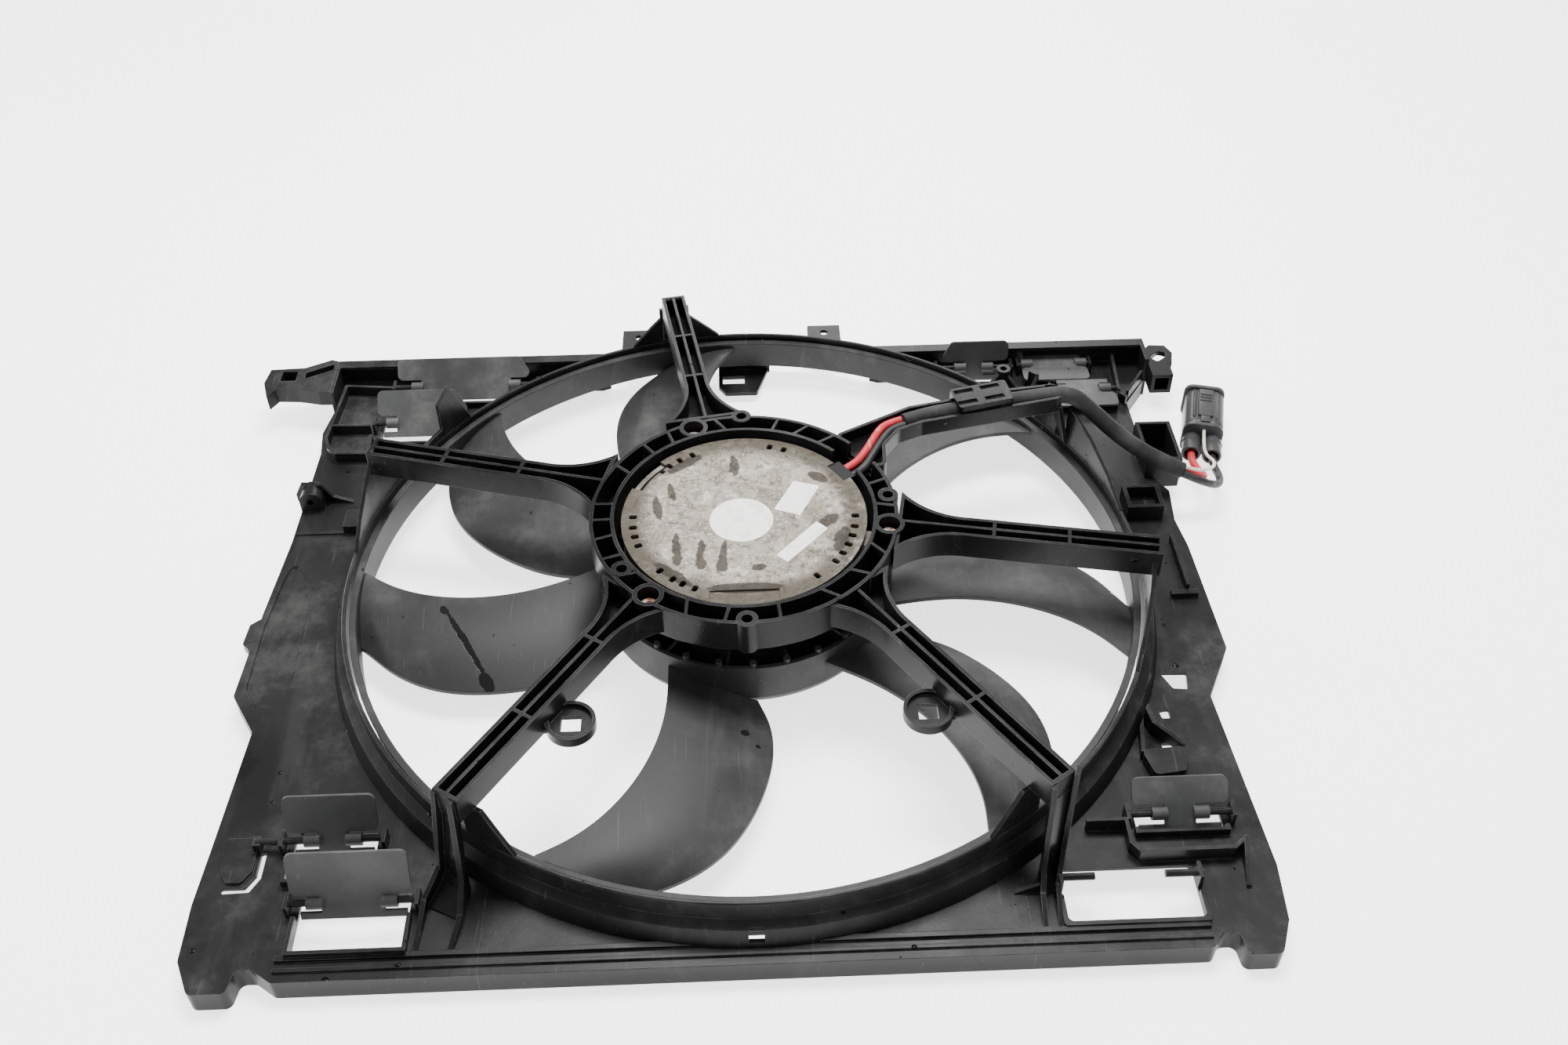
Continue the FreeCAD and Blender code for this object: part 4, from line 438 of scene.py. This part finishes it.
def soften(piece, radius):
    """Rounds a piece's sharp edges by this radius in millimetres and shades it smooth between them."""
    bevel = piece.modifiers.new("soft_edges", "BEVEL")
    bevel.width = radius / 1000
    bevel.segments = 3
    bevel.limit_method = "ANGLE"
    bevel.angle_limit = math.radians(50)
    bpy.ops.object.modifier_apply(modifier=bevel.name)
    bpy.ops.object.shade_smooth_by_angle(angle=math.radians(40))
    return piece


def rounded_block(name, low, high, radius):
    return soften(plug_block(name, low, high), radius)


def select_where(piece, kind, test):
    """In edit mode, selects only the faces or edges that pass the test."""
    mesh = piece.data
    for group in (mesh.vertices, mesh.edges, mesh.polygons):
        for item in group:
            item.select = False
    for item in (mesh.polygons if kind == "FACE" else mesh.edges):
        item.select = test(item)
    bpy.ops.object.mode_set(mode="EDIT")
    bpy.ops.mesh.select_mode(type=kind)


def hollow_out(piece, way, wall, depth):
    """Insets the end face that looks the given way along the plug and sinks it."""
    look = PLUG_AXIS * way
    select_where(piece, "FACE", lambda face: face.normal.dot(look) > 0.99)
    bpy.ops.mesh.inset(thickness=wall / 1000)
    bpy.ops.mesh.extrude_region_move(TRANSFORM_OT_translate={"value": look * (-depth / 1000)})
    bpy.ops.object.mode_set(mode="OBJECT")


def plug_shell(name, low, high, corner):
    """A length of the plug's housing: its four long edges are well rounded."""
    piece = plug_block(name, low, high)
    mesh = piece.data

    def runs_along(edge):
        first, second = (mesh.vertices[index].co for index in edge.vertices)
        return abs((second - first).normalized().dot(PLUG_AXIS)) > 0.99

    select_where(piece, "EDGE", runs_along)
    bpy.ops.mesh.bevel(offset=corner / 1000, segments=6, affect="EDGES")
    bpy.ops.object.mode_set(mode="OBJECT")
    return piece


def lead_port(side):
    """A hollow round port for one lead, lapped into the housing."""
    bpy.ops.object.select_all(action="DESELECT")
    length = SHELL_START + PORT_LAP
    bpy.ops.mesh.primitive_cylinder_add(vertices=40, radius=PORT_RADIUS / 1000, depth=length / 1000,
                                        location=plug_spot(length / 2, side, PORT_HEIGHT),
                                        rotation=(0.0, math.pi / 2, PLUG_TURN))
    piece = bpy.context.active_object
    piece.name = "port"
    settle(piece)
    hollow_out(piece, -1, PORT_WALL, PORT_DEPTH)
    return soften(piece, 0.35)


def port_bead(side, along, radius, thick):
    """A round bead about a lead port."""
    bpy.ops.object.select_all(action="DESELECT")
    bpy.ops.mesh.primitive_torus_add(location=plug_spot(along, side, PORT_HEIGHT),
                                     rotation=(0.0, math.pi / 2, PLUG_TURN), major_segments=40,
                                     minor_segments=12, major_radius=radius / 1000, minor_radius=thick / 1000)
    piece = bpy.context.active_object
    piece.name = "port_bead"
    settle(piece)
    bpy.ops.object.shade_smooth()
    return piece


def joined(pieces, name):
    """Makes one object of several."""
    bpy.ops.object.select_all(action="DESELECT")
    for piece in pieces:
        piece.select_set(True)
    bpy.context.view_layer.objects.active = pieces[0]
    bpy.ops.object.join()
    whole = bpy.context.active_object
    whole.name = name
    return whole


def plug():
    """The harness plug: rounded housing with its mouth, collar, flange, latch and two lead ports."""
    start, finish, half, top = SHELL_START, SHELL_END, PLUG_HALF, PLUG_HIGH
    body = plug_shell("body", (start, -half, PLUG_FOOT), (finish, half, top), 7.0)
    hollow_out(body, 1, SHELL_WALL, SOCKET_DEPTH)
    collar = plug_shell("collar", (start - 1.0, -half, PLUG_FOOT), (start + 2.2, half + 0.8, top + 0.8), 7.4)
    flange = plug_shell("flange", (finish - 4.4, -half, PLUG_FOOT), (finish - 1.2, half + 1.4, top + 1.7),
                        6.2)
    hollow_out(flange, 1, RIM_WALL, RIM_DEPTH)
    pieces = [
        soften(body, 0.5), soften(collar, 0.6), soften(flange, 0.6),
        rounded_block("latch", (start + 9.0, -LATCH_HALF, top - 0.5),
                      (finish - 6.0, LATCH_HALF, top + 2.0), 0.9),
        rounded_block("latch_root", (start + 3.0, -3.2, top - 0.5), (start + 10.0, 3.2, top + 1.2), 0.6),
    ]
    for number in range(GRIP_COUNT):
        along = start + 25.0 + GRIP_PITCH * number
        pieces.append(rounded_block("grip", (along, -GRIP_HALF, top + 1.4),
                                    (along + GRIP_THICK, GRIP_HALF, top + 2.8), 0.4))
    for side in (-GUIDE_SIDE, GUIDE_SIDE):
        pieces.append(rounded_block("guide", (start + 8.0, side - GUIDE_HALF, top - 1.4),
                                    (finish - 7.0, side + GUIDE_HALF, top + 0.9), 0.5))
    for side in (-PORT_SIDE, PORT_SIDE):
        pieces.append(lead_port(side))
        pieces += [port_bead(side, *bead) for bead in PORT_BEADS]
    return joined(pieces, "plug")


plug_piece = plug()
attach(plug_piece, "shroud")
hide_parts("connector")

lay_cord("sheath_end", FREE_SHEATH, SHEATH_RADIUS, "sheath_free", rubber)
lay_cord("red_from_motor", RED_LEAD, LEAD_RADIUS, "lead_red_motor", red)
lay_cord("black_from_motor", BLACK_LEAD, LEAD_RADIUS, "lead_black_motor", black)
lay_cord("red_to_plug", RED_TAIL, LEAD_RADIUS, "lead_red_tail", red)
lay_cord("black_to_plug", BLACK_TAIL, LEAD_RADIUS, "lead_black_tail", black)
lay_cord("signal_to_plug", SIGNAL_TAIL, SIGNAL_RADIUS, "lead_signal_tail", white)


# Moulded parts

SHROUD_PARTS = ["shroud_ring", "shroud_left_panel", "shroud_right_panel", "shroud_bottom_rail", "left_arm",
                "right_ear", "upper_dock", "lower_dock"]
CARRIER_PARTS = ["motor_carrier_ring", "strut_top", "strut_upper_left", "strut_lower_left",
                 "strut_lower_right", "strut_right", "cable_strut", "cable_clip"]
FAN_PARTS = ["fan_hub", "fan_ring"] + [name for name in nodes if name.startswith("fan_blade_")]
FLAPS = [name for name in nodes if name.startswith("flap_")]

# Wet spots on the blades, as moulded() takes them
BLADE_DRIPS = ((-168.0, -48.0, 30.0, 2.0, -58.9), (-154.0, -73.0, 7.0, 4.2, -58.9),
               (-183.0, -24.0, 4.0, 2.6, -50.0), (-3.0, -120.0, 3.0, 2.2, 20.0), (4.0, -128.0, 1.6, 1.4, 0.0),
               (-120.0, -168.0, 2.0, 1.5, 0.0))

finish_node(moulded("shroud_nylon", 0.0075, 0.34, edge_light=0.5, dust=0.16, sheen_streaks=0.5, puddles=0.5,
                    shine=0.11), *SHROUD_PARTS)
finish_node(moulded("carrier_nylon", 0.0055, 0.28, edge_light=0.7, dust=0.06, sheen_streaks=0.7, shine=0.12),
            *CARRIER_PARTS)
finish_node(moulded("fan_nylon", 0.016, 0.48, edge_light=0.3, dust=0.2, wet=0.012, sheen_streaks=0.4,
                    marks=BLADE_DRIPS), *FAN_PARTS)
finish_node(moulded("flap_nylon", 0.034, 0.5, edge_light=0.35, dust=0.6, wet=0.012), *FLAPS)
finish_node(moulded("grommet_rubber", 0.004, 0.6, edge_light=0.1, dust=0.05, wet=0.0), "lead_grommet")
finish_node(rubber, "sheath_held")

plug_nylon = moulded("connector_nylon", 0.030, 0.36, edge_light=0.3, dust=0.06, wet=0.012)
plug_piece.data.materials.clear()
plug_piece.data.materials.append(plug_nylon)


# Motor

COVER_RADIUS = 67.0
SHEET_EDGE = 0.0005

# Dark stains on the cover: x, y, half width and half height in drawing millimetres, and a turn in degrees
DRIPS = ((-40, -25, 2.6, 13, 4), (-26, -30, 2.6, 12, -4), (-13, -32, 2.8, 13, -8), (-5, 47, 3, 11, 0),
         (-52, 10, 3, 12, 10), (-44, 24, 2.2, 9, 8))
DRIP_ENDS = ((-40, -36, 3.6, 5, 0), (-26, -40, 3.4, 5, 0), (-14, -42, 3.8, 5, 0), (8, -44, 5, 3, 0))
SMUDGES = ((50, -6, 9, 4, 40), (46, 34, 8, 4, -40), (0, -60, 24, 4, 0), (-42, -48, 16, 4, -42),
           (-36, 50, 15, 4, 38), (57, -22, 5, 12, -20))


def cover_steel():
    """Plated sheet, speckled with dirt, grimy at its rim, with drip stains that run to the near side, painted
    highlight patches and painted glints.
    """
    recipe = Recipe("cover_steel")
    clouds = recipe.noise(16.0, 6.0, 0.65)
    # One noise for blotches: the dark ones are dirt, the light ones are painted highlight patches.
    dirt_and_highlight_blotches = recipe.noise(75.0, 6.0, 0.8, distortion=0.6)
    specks = recipe.noise(260.0, 4.0, 0.75)
    grains = recipe.cells(700.0)
    rim = (1 - recipe.oval(0, 0, COVER_RADIUS, COVER_RADIUS, 0, 0.62, 6.0)) * clouds.ramp(0.26, 0.42)
    # Painted glints: tiny near-white dots in the colour stand in for glints off the plating.
    painted_glints = recipe.noise(520.0, 3.0, 0.75).ramp(0.57, 0.66) * (1 - rim)
    stain = highest([recipe.oval(x, y, wide, tall, turn, 0.7, 4.0)
                     for x, y, wide, tall, turn in DRIPS + DRIP_ENDS + SMUDGES])

    base = recipe.blend(clouds.ramp(0.35, 0.7), (0.31, 0.277, 0.225, 1), (0.19, 0.164, 0.128, 1))
    base = recipe.blend(dirt_and_highlight_blotches.ramp(0.5, 0.6), base, (0.165, 0.141, 0.105, 1))
    # Painted highlight: off-white patches in the colour stand in for light on the plating.
    base = recipe.blend(dirt_and_highlight_blotches.ramp(0.46, 0.36), base, (0.46, 0.435, 0.39, 1))
    base = recipe.blend(specks.ramp(0.52, 0.6) * 0.85, base, (0.075, 0.065, 0.05, 1))
    base = recipe.blend(grains.ramp(0.3, 0.1) * specks.ramp(0.45, 0.6), base, (0.68, 0.67, 0.64, 1))
    base = recipe.blend(rim * 0.85, base, (0.042, 0.034, 0.023, 1))
    # Painted glints on the plating, kept off the rim.
    base = recipe.blend(painted_glints * 0.5, base, (0.90, 0.88, 0.84, 1))
    base = recipe.blend(stain * 0.85, base, (0.016, 0.012, 0.007, 1))
    recipe.set(Base_Color=base, Metallic=0.0, Roughness=0.42 + specks * 0.3, Specular_IOR_Level=0.14)
    recipe.relief(specks * 0.00012 + grains.ramp(0.35, 0.1) * 0.00008, recipe.rounded(SHEET_EDGE))
    return recipe.material


def die_cast():
    """The housing's dull, slightly yellowed alloy."""
    recipe = Recipe("motor_alloy")
    clouds = recipe.noise(40.0, 5.0, 0.6)
    base = recipe.blend(clouds.ramp(0.35, 0.7), grey(0.20, 0.12), grey(0.07, 0.16))
    recipe.set(Base_Color=base, Metallic=0.3, Roughness=0.5 + clouds * 0.2, Specular_IOR_Level=0.3)
    recipe.relief(recipe.noise(500.0, 3.0) * 0.0001)
    return recipe.material


def rusty_steel():
    """Screws with brown rust in patches and nearly black specks."""
    recipe = Recipe("screw_steel")
    rust = recipe.noise(320.0, 5.0, 0.7)
    rusted = rust.ramp(0.42, 0.58)
    base = recipe.blend(rusted, (0.32, 0.30, 0.28, 1), (0.22, 0.075, 0.025, 1))
    base = recipe.blend(recipe.noise(900.0, 3.0).ramp(0.55, 0.7), base, (0.09, 0.035, 0.015, 1))
    recipe.set(Base_Color=base, Metallic=0.9 - rusted * 0.7, Roughness=0.45 + rust * 0.35)
    recipe.relief(rust * 0.0003)
    return recipe.material


def label_film():
    """Blank film, yellowed and scuffed, with fine dirt."""
    recipe = Recipe("label_film")
    wear = recipe.noise(180.0, 5.0, 0.7)
    base = recipe.blend(wear.ramp(0.45, 0.65), (0.90, 0.89, 0.86, 1), (0.74, 0.72, 0.68, 1))
    base = recipe.blend(recipe.noise(500.0, 3.0).ramp(0.62, 0.7) * 0.5, base, (0.30, 0.28, 0.25, 1))
    recipe.set(Base_Color=base, Roughness=0.35 + wear * 0.25)
    recipe.relief(wear * 0.00005)
    return recipe.material


def plain_finish(name, level, metallic, roughness, warm=0.0):
    """An even metal, enamel or plastic for what lies inside the motor."""
    recipe = Recipe(name)
    clouds = recipe.noise(120.0, 4.0)
    base = recipe.blend(clouds.ramp(0.4, 0.65), grey(level, warm), grey(level * 0.7, warm))
    recipe.set(Base_Color=base, Metallic=metallic, Roughness=roughness + clouds * 0.15)
    recipe.relief(recipe.noise(800.0, 2.0) * 0.00004)
    return recipe.material


finish_node(cover_steel(), "motor_cover")
finish_node(die_cast(), "motor_housing")
finish_node(rusty_steel(), "motor_screws", "hub_screws")
finish_node(label_film(), "label_round", "label_upper", "label_lower")
finish_node(plain_finish("bearing_steel", 0.6, 1.0, 0.2), "bearing_lower", "bearing_upper", "motor_shaft")
finish_node(plain_finish("core_steel", 0.12, 0.6, 0.5), "stator_core", "rotor_bell")
finish_node(plain_finish("magnet_ferrite", 0.07, 0.2, 0.6), "rotor_magnets")
finish_node(plain_finish("coil_copper", 0.3, 0.8, 0.3, 0.4), "stator_coils")
finish_node(plain_finish("circuit_board", 0.06, 0.0, 0.35, -0.3), "control_board")
finish_node(plain_finish("board_part_plastic", 0.03, 0.0, 0.3), "board_components")


# Stage: a pale floor, a bright room and three soft lamps

FLOOR_SIZE = 9.0
FLOOR_MIDDLE = (0.0, 1.0, 0.0)
FLOOR_GLOW = 2.2
ROOM_TINT = (0.96, 0.98, 1.0, 1.0)
ROOM_STRENGTH = 0.85
# Each lamp's place, what it aims at, its two sides in metres and its watts
LAMPS = {
    "overhead": ((0.1, 0.45, 1.5), (0.0, 0.0, 0.0), (0.9, 0.5), 50.0),
    "left_side": ((-1.6, 0.1, 0.9), (0.0, 0.0, 0.05), (1.2, 0.8), 18.0),
    "far_side": ((0.3, 1.9, 1.1), (0.0, 0.0, 0.05), (0.9, 0.4), 22.0),
}


def add_floor():
    bpy.ops.mesh.primitive_plane_add(size=FLOOR_SIZE, location=FLOOR_MIDDLE)
    floor = bpy.context.active_object
    floor.name = "floor"
    recipe = Recipe("floor_paper")
    clouds = recipe.noise(1.2, 3.0)
    recipe.set(Base_Color=recipe.blend(clouds.ramp(0.3, 0.7), grey(0.93), grey(0.91)), Roughness=0.55,
               Emission_Color=grey(1.0), Emission_Strength=FLOOR_GLOW)
    floor.data.materials.append(recipe.material)


def add_lamp(name, place, aim, size, power):
    data = bpy.data.lights.new(name, "AREA")
    data.shape = "RECTANGLE"
    data.size, data.size_y = size
    data.energy = power
    lamp = bpy.data.objects.new(name, data)
    bpy.context.scene.collection.objects.link(lamp)
    lamp.location = place
    lamp.rotation_euler = (Vector(aim) - Vector(place)).to_track_quat("-Z", "Y").to_euler()


def add_room():
    room = bpy.data.worlds.new("studio")
    room.use_nodes = True
    background = room.node_tree.nodes["Background"]
    background.inputs["Color"].default_value = ROOM_TINT
    background.inputs["Strength"].default_value = ROOM_STRENGTH
    bpy.context.scene.world = room


add_floor()
add_room()
for lamp_name, lamp_facts in LAMPS.items():
    add_lamp(lamp_name, *lamp_facts)
